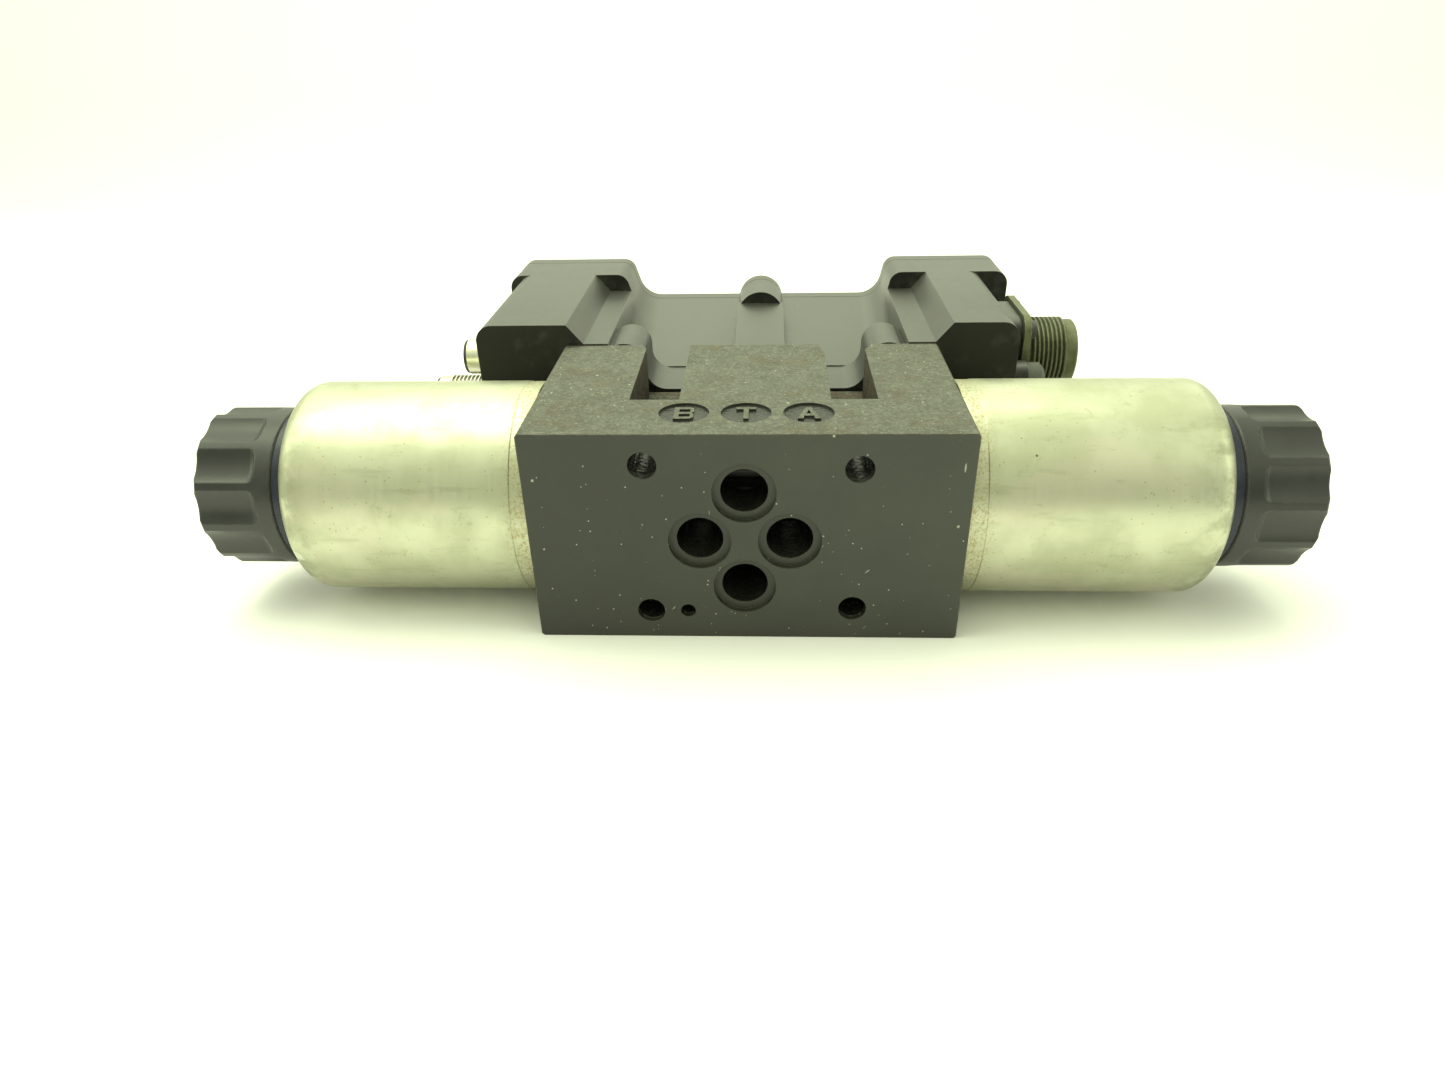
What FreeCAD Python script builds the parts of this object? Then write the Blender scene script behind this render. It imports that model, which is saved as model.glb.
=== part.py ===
"""Double-solenoid directional valve, size NG6, with on-board electronics.

Frame, in millimetres: the mounting face is the plane Y = 0 and faces -Y.  The origin is the
centre of the port pattern on that face.  X runs along the spool, Z up across the body.
Solenoid "a" is on the +X side, solenoid "b" on the -X side.
"""
import FreeCAD, Part
import os
import re
import Sketcher

DOC = FreeCAD.newDocument("directional_valve")
NEAR = 0.02
BESIDE = 0.8

# --------------------------------------------------------------------------- driving sizes
SIZES = {
    "valve body": {
        "centre_x": 0.3,
        "body_length": 85.1,
        "body_height": 45.2,
        "body_depth": 50.36,
        "spool_depth": 24.2,
        "body_edge": 0.5,
        "port_radius": 4.56,
        "port_seat_radius": 6.15,
        "port_seat_depth": 1.3,
        "port_a_x": 8.8,
        "port_b_x": -8.7,
        "port_pt_z": 10.4,
        "bolt_radius": 2.75,
        "bolt_seat": 17.0,
        "bolt_right_x": 21.5,
        "bolt_right_z": 15.5,
        "bolt_left_x": -19.0,
        "bolt_left_z": 16.25,
        "slot_floor_z": 11.2,
        "slot_left_out": 4.05,
        "slot_left_in": 5.86,
        "slot_left_flare": 5.2,
        "slot_left_flare_depth": 2.6,
        "slot_right_in": 4.55,
        "slot_right_in_flare": 5.6,
        "slot_right_in_depth": 6.5,
        "slot_right_out": 4.6,
        "slot_right_out_flare": 6.6,
        "slot_right_out_depth": 4.0,
        "housing_thread_radius": 2.02,
        "housing_thread_depth": 10.0,
        "pin_x": -11.5,
        "pin_z": -16.25,
        "pin_radius": 1.5,
        "pin_depth": 4.5,
        "label_pitch": 11.97,
        "label_y": 10.3,
        "label_radius": 4.88,
        "label_recess": 0.45,
        "letter_height": 5.6,
        "letter_stroke": 1.0,
        "letter_half": 1.904,
        "letter_sink": 0.05,
        "letter_bar": 1.456,
        "letter_corner": 0.7,
        "letter_foot": 0.3,
    },
    "spool and chambers": {
        "bore_radius": 6.0,
        "spool_radius": 5.98,
        "spool_neck": 3.6,
        "spool_half": 27.0,
        "land_start": 6.1,
        "land_end": 11.5,
        "guide_start": 20.0,
        "spool_chamfer": 0.6,
        "land_groove": 1.8,
        "guide_groove": 1.5,
        "oil_groove_half": 0.2,
        "oil_groove_depth": 0.4,
        "stroke": 2.6,
        "work_chamber_radius": 8.5,
        "tank_chamber_radius": 9.0,
        "chamber_half": 2.2,
        "work_chamber_x": 8.75,
        "tank_chamber_x": 18.4,
        "gallery_y": 11.0,
        "gallery_z": 9.0,
        "gallery_radius": 2.8,
        "drop_z": 6.5,
        "drop_radius": 2.4,
        "drop_end": 20.2,
        "gallery_reach": 2.0,
        "bore_overlap": 0.5,
        "spring_bore_radius": 8.0,
        "spring_bore_start": 24.2,
        "socket_radius": 11.0,
        "socket_start": 34.5,
        "fit": 0.05,
        "gap": 0.02,
    },
    "armature tube, distances outward from the end of the body": {
        "tube_radius": 9.5,
        "tube_thread_radius": 10.98,
        "tube_front": -7.9,
        "tube_spring_seat": -5.0,
        "tube_recess_radius": 7.0,
        "pole_end": 9.0,
        "armature_bore": 8.0,
        "armature_bore_end": 48.0,
        "tube_end": 66.5,
        "tube_tip_radius": 8.9,
        "tube_tip_start": 52.5,
        "tube_chamfer": 0.8,
        "tube_step": 0.1,
        "seal_groove_half": 1.0,
        "push_pin_radius": 2.0,
        "armature_radius": 7.96,
        "armature_start": 12.3,
        "armature_end": 42.3,
        "armature_chamfer": 0.5,
        "balance_hole_y": 4.8,
        "balance_hole_radius": 0.9,
        "washer_clearance": 0.3,
        "spring_turns": 4.0,
        "washer_thickness": 1.0,
        "washer_radius": 7.2,
        "spring_radius": 5.2,
        "spring_wire": 0.8,
        "override_radius": 3.0,
        "override_collar": 4.2,
        "override_start": 48.2,
        "override_end": 67.3,
        "collar_thickness": 2.0,
        "collar_room": 0.2,
        "collar_clearance": 0.1,
        "override_chamfer": 0.5,
        "seal_x": -1.6,
        "seal_radius": 10.3,
        "seal_section": 0.68,
    },
    "coil and nut, distances outward from the end of the body": {
        "coil_start": 0.05,
        "coil_end": 51.05,
        "coil_radius": 22.5,
        "coil_round": 4.0,
        "band_width": 3.6,
        "band_step": 0.12,
        "can_wall": 1.5,
        "can_end_wall": 4.55,
        "coil_bore": 9.6,
        "yoke_thickness": 4.0,
        "bobbin_wall": 1.5,
        "winding_radius": 19.6,
        "plug_x": 10.0,
        "plug_width": 10.0,
        "plug_height": 14.0,
        "plug_front": 20.3,
        "plug_collar": 1.5,
        "plug_reach": 2.0,
        "window_gap": 0.1,
        "window_depth": 11.5,
        "bobbin_lip": 0.6,
        "seal_ring_radius": 16.7,
        "nut_start": 54.1,
        "nut_end": 70.35,
        "nut_radius": 17.0,
        "flute_start": 57.6,
        "flute_count": 12.0,
        "flute_radius": 9.0,
        "flute_depth": 1.15,
        "flute_round": 1.4,
        "nut_bore": 8.95,
        "nut_recess_radius": 12.0,
        "nut_recess": 5.0,
        "nut_near_chamfer": 0.4,
        "nut_far_chamfer": 0.5,
        "nut_turn_a": 2.3,
        "nut_turn_b": 10.3,
    },
    "electronics housing": {
        "housing_wall": 3.0,
        "gasket_thickness": 0.6,
        "gasket_inset": 1.2,
        "tower_top": 27.4,
        "tower_ledge": 23.0,
        "tower_left_slope": -41.6,
        "tower_left_ledge": -37.9,
        "tower_right_slope": 46.1,
        "tower_right_ledge": 42.4,
        "tower_round": 4.0,
        "tower_left": -62.8,
        "tower_right": 61.1,
        "tower_left_inner": -31.9,
        "tower_right_inner": 36.0,
        "neck_front_z": 11.8,
        "neck_back_z": 17.3,
        "neck_flat_end": 65.8,
        "neck_step": 0.25,
        "neck_overlap": 1.0,
        "column_left_x": -23.9,
        "column_right_x": 27.1,
        "column_width": 9.6,
        "column_top": 22.75,
        "column_top_round": 4.6,
        "column_foot_round": 4.8,
        "flange_front": 94.5,
        "flange_back": 107.6,
        "flange_left": -65.0,
        "flange_right": 67.7,
        "flange_round": 3.5,
        "shoulder_left_x": -33.7,
        "shoulder_right_x": 37.3,
        "shoulder_round": 3.2,
        "waist_left_x": -30.4,
        "waist_right_x": 35.1,
        "waist_round": 6.2,
        "waist_sink": 3.0,
        "boss_x": 2.5,
        "boss_z": 16.3,
        "boss_radius": 6.1,
        "rib_half": 6.2,
        "rib_back_z": 19.4,
        "rib_front_z": 14.6,
        "rib_core_z": 10.0,
        "rib_gap": 3.0,
        "cavity_front": 53.4,
        "cavity_z": 20.0,
        "neck_cavity_z": 8.5,
        "neck_cavity_front": 56.0,
        "neck_wall": 3.0,
        "cavity_left": -61.6,
        "cavity_right": 64.2,
        "cavity_corner_z": 17.0,
        "cavity_corner_run": 6.6,
        "cavity_top": 23.9,
        "cavity_shoulder_left": -36.2,
        "cavity_waist_left": -32.6,
        "cavity_waist_right": 37.7,
        "cavity_shoulder_right": 41.3,
        "cavity_waist_z": 13.8,
        "cavity_boss_z": 11.2,
        "boss_bay_foot": 7.5,
        "boss_bay_top": 5.5,
        "board_gap": 0.5,
        "board_seat": 97.5,
        "screw_z": 5.0,
        "screw_clearance_radius": 2.2,
        "screw_gasket_radius": 2.4,
        "screw_head_radius": 3.5,
        "screw_head": 4.0,
        "screw_shank_radius": 2.0,
        "screw_length": 14.0,
        "screw_socket": 1.7,
        "socket_share": 0.4,
        "hexagon_rise": 0.866,
        "screw_left_x": -17.6,
        "screw_right_x": 18.2,
        "cover_front": 108.0,
        "cover_back": 112.0,
        "corner_screw_left": -60.8,
        "corner_screw_right": 63.5,
        "corner_screw_z": 23.2,
        "cover_hole_radius": 1.6,
        "cover_sink_radius": 3.05,
        "cover_sink": 1.9,
        "cover_head_radius": 2.95,
        "cover_head": 1.7,
        "cover_shank_radius": 1.25,
        "cover_thread_radius": 1.27,
        "cover_thread_depth": 9.0,
        "cover_screw_length": 9.5,
        "cover_socket": 1.2,
        "board_thickness": 1.6,
        "board_screw_z": 21.9,
        "board_screw_left": -48.0,
        "board_screw_right": 52.0,
        "board_hole_radius": 1.1,
        "board_thread_radius": 1.02,
        "board_thread_depth": 6.0,
        "board_head_radius": 1.9,
        "board_head": 1.6,
        "board_shank_radius": 1.0,
        "board_socket": 0.9,
        "capacitor_radius": 4.0,
        "capacitor_height": 13.0,
        "chip_half": 6.0,
        "chip_height": 2.4,
        "capacitor_far_x": -50.0,
        "capacitor_near_x": -40.0,
        "capacitor_right_x": 46.0,
        "capacitor_z": 9.5,
        "chip_left_x": -46.0,
        "chip_middle_x": 15.0,
        "chip_right_x": 52.0,
        "chip_z": 8.5,
        "lead_half_pitch": 2.5,
        "lead_bend": 57.0,
        "lead_bow": 4.0,
        "lead_radius": 0.7,
        "lead_gap": 0.35,
    },
    "connectors": {
        "main_y": 72.2,
        "main_z": 12.9,
        "pad_half": 11.0,
        "pad_end": 64.4,
        "pad_round": 5.0,
        "main_gasket_end": 64.7,
        "main_plate_end": 66.3,
        "main_plate_half": 12.0,
        "main_plate_round": 4.2,
        "main_neck": 7.6,
        "main_thread_start": 68.3,
        "main_thread_end": 76.7,
        "main_thread_radius": 8.7,
        "main_thread_depth": 0.55,
        "main_pitch": 1.05,
        "main_tip_end": 79.3,
        "main_tip_radius": 8.1,
        "main_bore": 6.9,
        "main_screw_pitch": 8.4,
        "main_screw_hole": 1.4,
        "main_thread_hole": 1.27,
        "main_thread_hole_depth": 7.0,
        "main_bore_gap": 0.1,
        "main_rebate": 0.5,
        "main_tip_chamfer": 0.4,
        "main_insert_recess": 5.0,
        "main_insert_reach": 6.0,
        "main_pin_hole": 0.8,
        "main_pin_radius": 0.79,
        "main_pin_reach": 8.0,
        "main_pin_recess": 1.5,
        "pin_ring_radius": 4.0,
        "pin_ring_half": 2.0,
        "pin_ring_side": 3.46,
        "plate_screw_length": 6.5,
        "plate_screw_radius": 1.25,
        "plate_head_radius": 2.2,
        "plate_head": 1.5,
        "plate_slot_half": 0.3,
        "plate_slot_length": 1.8,
        "plate_slot_floor": 0.6,
        "ridge_rise": 0.38,
        "ridge_fall": 0.62,
        "socket_y": 66.5,
        "socket_z": 14.6,
        "socket_body": 4.3,
        "socket_bore": 3.0,
        "socket_wall_radius": 3.5,
        "socket_nut_radius": 4.9,
        "socket_pin_pitch": 1.1,
        "socket_end": -69.7,
        "socket_tip": -70.5,
        "bus_y": 70.5,
        "bus_z": 2.0,
        "bus_radius": 6.0,
        "bus_flange": 6.7,
        "bus_bore": 3.9,
        "bus_collar": 5.7,
        "bus_collar_length": 0.4,
        "bus_flange_height": 3.0,
        "bus_wall_radius": 4.5,
        "bus_nut_radius": 6.3,
        "bus_pin_pitch": 1.4,
        "bus_pitch": 1.0,
        "bus_thread_depth": 0.45,
        "nut_height": 2.2,
        "insert_lip": 0.7,
        "insert_rim": 0.3,
        "insert_floor": 4.0,
        "insert_back": 2.0,
        "small_pin_radius": 0.44,
        "small_pin_hole": 0.45,
        "small_pin_recess": 1.0,
        "small_pin_reach": 4.0,
        "bus_thread_end": -77.1,
        "bus_end": -79.8,
        "bus_tip": -80.5,
        "stopper_y": 55.7,
        "stopper_z": 12.0,
        "stopper_radius": 4.0,
        "stopper_boss": 4.4,
        "stopper_boss_end": 64.6,
        "stopper_neck": 2.5,
        "stopper_hole": 2.55,
        "stopper_chamfer": 1.0,
        "stopper_end": 68.7,
    },
}

SHEET = DOC.addObject("Spreadsheet::Sheet", "Sizes")
NAMES = []


def fill_sheet():
    """Write every driving size into the sheet, one named cell per size."""
    row = 1
    for heading, sizes in SIZES.items():
        SHEET.set(f"A{row}", heading)
        row += 1
        for name, value in sizes.items():
            SHEET.set(f"A{row}", name)
            SHEET.set(f"B{row}", str(value))
            SHEET.setAlias(f"B{row}", name)
            NAMES.append(name)
            row += 1
    DOC.recompute()


fill_sheet()
NAME_PATTERN = re.compile(r"\b(" + "|".join(sorted(NAMES, key=len, reverse=True)) + r")\b")


def number(text):
    """Value of a size expression, in millimetres."""
    return float(SHEET.evalExpression(str(text)))


def bind(thing, prop, text):
    """Drive a property by a size expression."""
    thing.setExpression(prop, NAME_PATTERN.sub(r"Sizes.\1", str(text)))


# --------------------------------------------------------------------------- sketch helpers
def new_body(label, side=None):
    """A body in the common frame, or one laid outward from an end of the valve body."""
    body = DOC.addObject("PartDesign::Body", label)
    body.Label = label
    if side:
        turn = 0 if side == "a" else 180
        body.Placement.Rotation = FreeCAD.Rotation(FreeCAD.Vector(0, 1, 0), turn)
        sign = "+" if side == "a" else "-"
        bind(body, "Placement.Base.x", f"centre_x {sign} body_length / 2")
        bind(body, "Placement.Base.y", "spool_depth")
    return body


def sketch_on(body, plane, offset="0"):
    """Sketch parallel to an origin plane, shifted by offset towards the positive axis."""
    sketch = body.newObject("Sketcher::SketchObject", "Outline")
    support = [f for f in body.Origin.OriginFeatures if f.Role == plane + "_Plane"][0]
    sketch.AttachmentSupport = [(support, "")]
    sketch.MapMode = "FlatFace"
    sign = "-" if plane == "XZ" else ""
    bind(sketch, "AttachmentOffset.Base.z", f"{sign}({offset})")
    return sketch


def place_point(sketch, geometry, end, x, y):
    """Hold one point of the sketch at the distances x, y from the sketch origin."""
    for kind, axis, text in (("DistanceX", -2, x), ("DistanceY", -1, y)):
        value = number(text)
        if abs(value) < 1e-7:
            sketch.addConstraint(Sketcher.Constraint("PointOnObject", geometry, end, axis))
            continue
        if value > 0:
            rule = Sketcher.Constraint(kind, -1, 1, geometry, end, value)
        else:
            rule = Sketcher.Constraint(kind, geometry, end, -1, 1, -value)
            text = f"-({text})"
        index = sketch.addConstraint(rule)
        bind(sketch, f"Constraints[{index}]", text)


def polygon(sketch, corners):
    """Closed outline through corners, each a pair of size expressions."""
    points = [FreeCAD.Vector(number(x), number(y), 0) for x, y in corners]
    first = sketch.GeometryCount
    count = len(points)
    for index in range(count):
        sketch.addGeometry(Part.LineSegment(points[index], points[(index + 1) % count]))
    joins = []
    for index in range(count):
        after = first + (index + 1) % count
        joins.append(Sketcher.Constraint("Coincident", first + index, 2, after, 1))
    sketch.addConstraint(joins)
    for index, (x, y) in enumerate(corners):
        place_point(sketch, first + index, 1, x, y)


def circle(sketch, x, y, radius):
    """Circle with its centre and radius driven by size expressions."""
    centre = FreeCAD.Vector(number(x), number(y), 0)
    shape = Part.Circle(centre, FreeCAD.Vector(0, 0, 1), number(radius))
    index = sketch.addGeometry(shape)
    rule = sketch.addConstraint(Sketcher.Constraint("Radius", index, number(radius)))
    bind(sketch, f"Constraints[{rule}]", radius)
    place_point(sketch, index, 3, x, y)


def rectangle(x_low, x_high, y_low, y_high):
    """Corners of an upright rectangle."""
    return [(x_low, y_low), (x_high, y_low), (x_high, y_high), (x_low, y_high)]


def mirrored(upper):
    """Close an outline given for positive heights by its mirror image below."""
    return upper + [(x, f"-({z})") for x, z in reversed(upper)]


def rounded_square(sketch, x, y, half, radius):
    """Square with rounded corners about the centre x, y."""
    turns = ((1, 1), (-1, 1), (-1, -1), (1, -1))
    ends = []
    for index, (right, up) in enumerate(turns):
        across = f"{x} {'+' if right > 0 else '-'} ({half})"
        level = f"{y} {'+' if up > 0 else '-'} ({half})"
        across_in = f"{across} {'-' if right > 0 else '+'} {radius}"
        level_in = f"{level} {'-' if up > 0 else '+'} {radius}"
        pair = [(across, level_in), (across_in, level)]
        ends.append(pair if index % 2 == 0 else pair[::-1])
    for index, (first, last) in enumerate(ends):
        centre = FreeCAD.Vector(number(x) + turns[index][0] * (number(half) - number(radius)),
                                number(y) + turns[index][1] * (number(half) - number(radius)), 0)
        start = FreeCAD.Vector(number(first[0]), number(first[1]), 0)
        stop = FreeCAD.Vector(number(last[0]), number(last[1]), 0)
        outward = (start + stop) / 2 - centre
        middle = centre + outward.normalize() * number(radius)
        sketch.addGeometry(Part.Arc(start, middle, stop))
    for index, (first, last) in enumerate(ends):
        after = ends[(index + 1) % 4][0]
        start = FreeCAD.Vector(number(last[0]), number(last[1]), 0)
        stop = FreeCAD.Vector(number(after[0]), number(after[1]), 0)
        sketch.addGeometry(Part.LineSegment(start, stop))
    rules = []
    for index in range(4):
        rules.append(Sketcher.Constraint("Coincident", 4 + index, 1, index, 2))
        rules.append(Sketcher.Constraint("Coincident", 4 + index, 2, (index + 1) % 4, 1))
    sketch.addConstraint(rules)
    for index, (first, last) in enumerate(ends):
        place_point(sketch, index, 1, *first)
        place_point(sketch, index, 2, *last)
        rule = sketch.addConstraint(Sketcher.Constraint("Radius", index, number(radius)))
        bind(sketch, f"Constraints[{rule}]", radius)


def draw(sketch, outlines):
    """Add rounded squares (x, y, half, radius), circles (x, y, radius) and polygons."""
    for outline in outlines:
        if isinstance(outline, list):
            polygon(sketch, outline)
        elif len(outline) == 4:
            rounded_square(sketch, *outline)
        else:
            circle(sketch, *outline)


# --------------------------------------------------------------------------- feature helpers
def pad(body, plane, start, end, *outlines):
    """Extrude outlines from start to end along the axis normal to the plane."""
    sketch = sketch_on(body, plane, start)
    draw(sketch, outlines)
    feature = body.newObject("PartDesign::Pad", "Pad")
    feature.Profile = sketch
    feature.Reversed = plane == "XZ"
    bind(feature, "Length", f"({end}) - ({start})")
    DOC.recompute()
    return feature


def pocket(body, plane, start, end, *outlines):
    """Cut outlines from start to end along the axis normal to the plane."""
    before = body.Shape.Volume
    sketch = sketch_on(body, plane, start)
    draw(sketch, outlines)
    feature = body.newObject("PartDesign::Pocket", "Pocket")
    feature.Profile = sketch
    feature.Reversed = plane != "XZ"
    bind(feature, "Length", f"({end}) - ({start})")
    DOC.recompute()
    if body.Shape.Volume > before - 1e-3:
        raise ValueError(f"a pocket in {body.Label} removed nothing")
    return feature


def turned(body, *outlines, centre=None):
    """Turn outlines in the XY plane about the X axis, or about a line beside it."""
    kind = "PartDesign::Revolution"
    return turn(body, kind, outlines, centre)


def grooved(body, *outlines, centre=None):
    """Cut outlines turned about the X axis, or about a line beside it."""
    before = body.Shape.Volume
    feature = turn(body, "PartDesign::Groove", outlines, centre)
    if body.Shape.Volume > before - 1e-3:
        raise ValueError(f"a groove in {body.Label} removed nothing")
    return feature


def turn(body, kind, outlines, centre):
    """Revolve outlines; centre is the (y, z) of the turning axis, (0, 0) if not given."""
    y, z = centre or ("0", "0")
    sketch = sketch_on(body, "XY", z)
    bind(sketch, "AttachmentOffset.Base.y", y)
    draw(sketch, outlines)
    feature = body.newObject(kind, "Turned")
    feature.Profile = sketch
    feature.ReferenceAxis = (sketch, ["H_Axis"])
    feature.Angle = 360
    DOC.recompute()
    return feature


def edges_where(body, test):
    """Names of the straight or curved edges of the body that pass a test."""
    return [f"Edge{n}" for n, edge in enumerate(body.Tip.Shape.Edges, 1) if test(edge)]


def dress(body, kind, size, test):
    """Fillet or chamfer the edges that pass a test."""
    base = body.Tip
    names = edges_where(body, test)
    if not names:
        raise ValueError(f"no edge to dress on {body.Label}")
    feature = body.newObject("PartDesign::" + kind, kind)
    feature.Base = (base, names)
    bind(feature, "Radius" if kind == "Fillet" else "Size", size)
    DOC.recompute()
    return feature


def edge_at(x=None, y=None, z=None):
    """Test for an edge lying wholly on the given coordinates, any number of each."""
    def passes(edge):
        box = edge.BoundBox
        limits = ((x, box.XMin, box.XMax), (y, box.YMin, box.YMax), (z, box.ZMin, box.ZMax))
        for wanted, low, high in limits:
            if wanted is None:
                continue
            if not any(abs(low - w) < NEAR and abs(high - w) < NEAR for w in wanted):
                return False
        return True
    return passes


def copies(label, body, places):
    """One node made of a body repeated at several places, as separate solids."""
    links = []
    for index, (x, y, z) in enumerate(places):
        link = DOC.addObject("App::Link", f"{label}_{index + 1}")
        link.LinkedObject = body
        bind(link, "Placement.Base.x", x)
        bind(link, "Placement.Base.y", y)
        bind(link, "Placement.Base.z", z)
        links.append(link)
    group = DOC.addObject("Part::Compound", label)
    group.Label = label
    group.Links = links
    DOC.recompute()
    return group


def both_signs(places):
    """Repeat places given for positive heights at the mirrored heights."""
    return places + [(x, y, f"-({z})") for x, y, z in places]


NODES = []


def node(thing):
    """Register a finished sub-part for writing."""
    NODES.append(thing)
    return thing


# --------------------------------------------------------------------------- valve body
def chamber(body, x, half, radius):
    """Ring-shaped chamber around the spool bore."""
    grooved(body, rectangle(f"{x} - {half}", f"{x} + {half}", "bore_radius - bore_overlap",
                            radius), centre=("spool_depth", "0"))


def letters(body):
    """Port letters B, T and A standing in the three round recesses."""
    low = "label_y - letter_height / 2"
    high = "label_y + letter_height / 2"
    floor = "body_height / 2 - label_recess"
    top = "body_height / 2 - letter_sink"
    stroke = "letter_stroke"
    half = "letter_half"
    t_x = "centre_x"
    pad(body, "XY", floor, top,
        [(f"{t_x} - {half}", high), (f"{t_x} - {half}", f"{high} - {stroke}"),
         (f"{t_x} - {stroke} / 2", f"{high} - {stroke}"), (f"{t_x} - {stroke} / 2", low),
         (f"{t_x} + {stroke} / 2", low), (f"{t_x} + {stroke} / 2", f"{high} - {stroke}"),
         (f"{t_x} + {half}", f"{high} - {stroke}"), (f"{t_x} + {half}", high)])
    a_x = "centre_x + label_pitch"
    bar_low = "label_y - letter_bar"
    foot = f"{half} + letter_foot"
    inner_foot = f"{foot} - {stroke} - letter_foot / 2"
    bar_half = f"({half}) / 2"
    pad(body, "XY", floor, top,
        [(f"{a_x} - ({foot})", low), (f"{a_x} - {stroke} / 2", high),
         (f"{a_x} + {stroke} / 2", high), (f"{a_x} + {foot}", low),
         (f"{a_x} + {inner_foot}", low), (f"{a_x} + {bar_half}", bar_low),
         (f"{a_x} - {bar_half}", bar_low), (f"{a_x} - ({inner_foot})", low)])
    pocket(body, "XY", floor, top,
           [(f"{a_x} - {bar_half} / 2", f"{bar_low} + {stroke}"),
            (f"{a_x} + {bar_half} / 2", f"{bar_low} + {stroke}"),
            (f"{a_x}", f"{high} - {stroke} - letter_foot")])
    b_x = "centre_x - label_pitch"
    shoulder = f"{b_x} + {half} - letter_corner"
    pad(body, "XY", floor, top,
        [(f"{b_x} - {half}", low), (shoulder, low),
         (f"{b_x} + {half}", f"{low} + letter_corner"),
         (f"{b_x} + {half}", "label_y - letter_stroke / 2"),
         (f"{b_x} + {half} - letter_stroke / 2", "label_y"),
         (f"{b_x} + {half}", "label_y + letter_stroke / 2"),
         (f"{b_x} + {half}", f"{high} - letter_corner"), (shoulder, high),
         (f"{b_x} - {half}", high)])
    bar = f"({stroke}) / 2"
    for bottom, head in ((f"{low} + {stroke}", f"label_y - {bar}"),
                         (f"label_y + {bar}", f"{high} - {stroke}")):
        pocket(body, "XY", floor, top,
               rectangle(f"{b_x} - {half} + {stroke}", shoulder, bottom, head))


def housing_screw_holes(radius):
    """Four round holes on the pattern of the screws that hold the housing."""
    return [(x, f"{sign}screw_z", radius) for x in ("screw_left_x", "screw_right_x")
            for sign in ("", "-")]


def valve_body():
    """Cast block with its ports, bolt holes, bolt slots, spool bore and end sockets."""
    body = new_body("valve_body")
    left = "centre_x - body_length / 2"
    right = "centre_x + body_length / 2"
    top = "body_height / 2"
    pad(body, "XZ", "0", "body_depth", rectangle(left, right, f"-{top}", top))
    sides = (number(left), number(right))
    heights = (number(top), -number(top))
    dress(body, "Chamfer", "body_edge", edge_at(x=sides, z=heights))

    slot_left = [("bolt_left_x - slot_left_out", "bolt_seat"),
                 ("bolt_left_x + slot_left_in", "bolt_seat"),
                 ("bolt_left_x + slot_left_in", "body_depth"),
                 ("bolt_left_x - slot_left_flare", "body_depth"),
                 ("bolt_left_x - slot_left_out", "body_depth - slot_left_flare_depth")]
    slot_right = [("bolt_right_x - slot_right_in", "bolt_seat"),
                  ("bolt_right_x + slot_right_out", "bolt_seat"),
                  ("bolt_right_x + slot_right_out", "body_depth - slot_right_out_depth"),
                  ("bolt_right_x + slot_right_out_flare", "body_depth"),
                  ("bolt_right_x - slot_right_in_flare", "body_depth"),
                  ("bolt_right_x - slot_right_in", "body_depth - slot_right_in_depth")]
    pocket(body, "XY", "slot_floor_z", top, slot_left, slot_right)
    pocket(body, "XY", f"-{top}", "-slot_floor_z", slot_left, slot_right)

    pocket(body, "XZ", "0", "bolt_seat",
           ("bolt_right_x", "bolt_right_z", "bolt_radius"),
           ("bolt_right_x", "-bolt_right_z", "bolt_radius"),
           ("bolt_left_x", "bolt_left_z", "bolt_radius"),
           ("bolt_left_x", "-bolt_left_z", "bolt_radius"))
    pocket(body, "XZ", "0", "pin_depth", ("pin_x", "pin_z", "pin_radius"))
    pocket(body, "XZ", "0", "port_seat_depth",
           ("port_a_x", "0", "port_seat_radius"), ("port_b_x", "0", "port_seat_radius"),
           ("0", "port_pt_z", "port_seat_radius"), ("0", "-port_pt_z", "port_seat_radius"))
    pocket(body, "XZ", "0", "spool_depth - bore_radius - 1",
           ("port_a_x", "0", "port_radius"), ("port_b_x", "0", "port_radius"))
    pocket(body, "XZ", "0", "gallery_y", ("0", "port_pt_z", "port_radius"))
    pocket(body, "XZ", "0", "spool_depth", ("0", "-port_pt_z", "port_radius"))

    grooved(body, rectangle(left, right, "0", "bore_radius"), centre=("spool_depth", "0"))
    chamber(body, "centre_x", "chamber_half", "work_chamber_radius")
    for sign in ("-", "+"):
        chamber(body, f"centre_x {sign} work_chamber_x", "chamber_half",
                "work_chamber_radius")
        chamber(body, f"centre_x {sign} tank_chamber_x", "chamber_half",
                "tank_chamber_radius")
        near = f"centre_x {sign} spring_bore_start"
        step = f"centre_x {sign} socket_start"
        end = f"centre_x {sign} body_length / 2"
        grooved(body, [(near, "0"), (near, "spring_bore_radius"),
                       (step, "spring_bore_radius"), (step, "socket_radius"),
                       (end, "socket_radius"), (end, "0")], centre=("spool_depth", "0"))
    gallery_left = "centre_x - tank_chamber_x - gallery_reach"
    gallery_right = "centre_x + tank_chamber_x + gallery_reach"
    pocket(body, "YZ", gallery_left, gallery_right,
           ("gallery_y", "gallery_z", "gallery_radius"))
    pocket(body, "XZ", "gallery_y", "drop_end",
           ("centre_x - tank_chamber_x", "drop_z", "drop_radius"),
           ("centre_x + tank_chamber_x", "drop_z", "drop_radius"))
    pocket(body, "XZ", "body_depth - housing_thread_depth", "body_depth",
           *housing_screw_holes("housing_thread_radius"))
    pocket(body, "XY", f"{top} - label_recess", top,
           ("centre_x", "label_y", "label_radius"),
           ("centre_x - label_pitch", "label_y", "label_radius"),
           ("centre_x + label_pitch", "label_y", "label_radius"))
    letters(body)
    return node(body)


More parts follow.
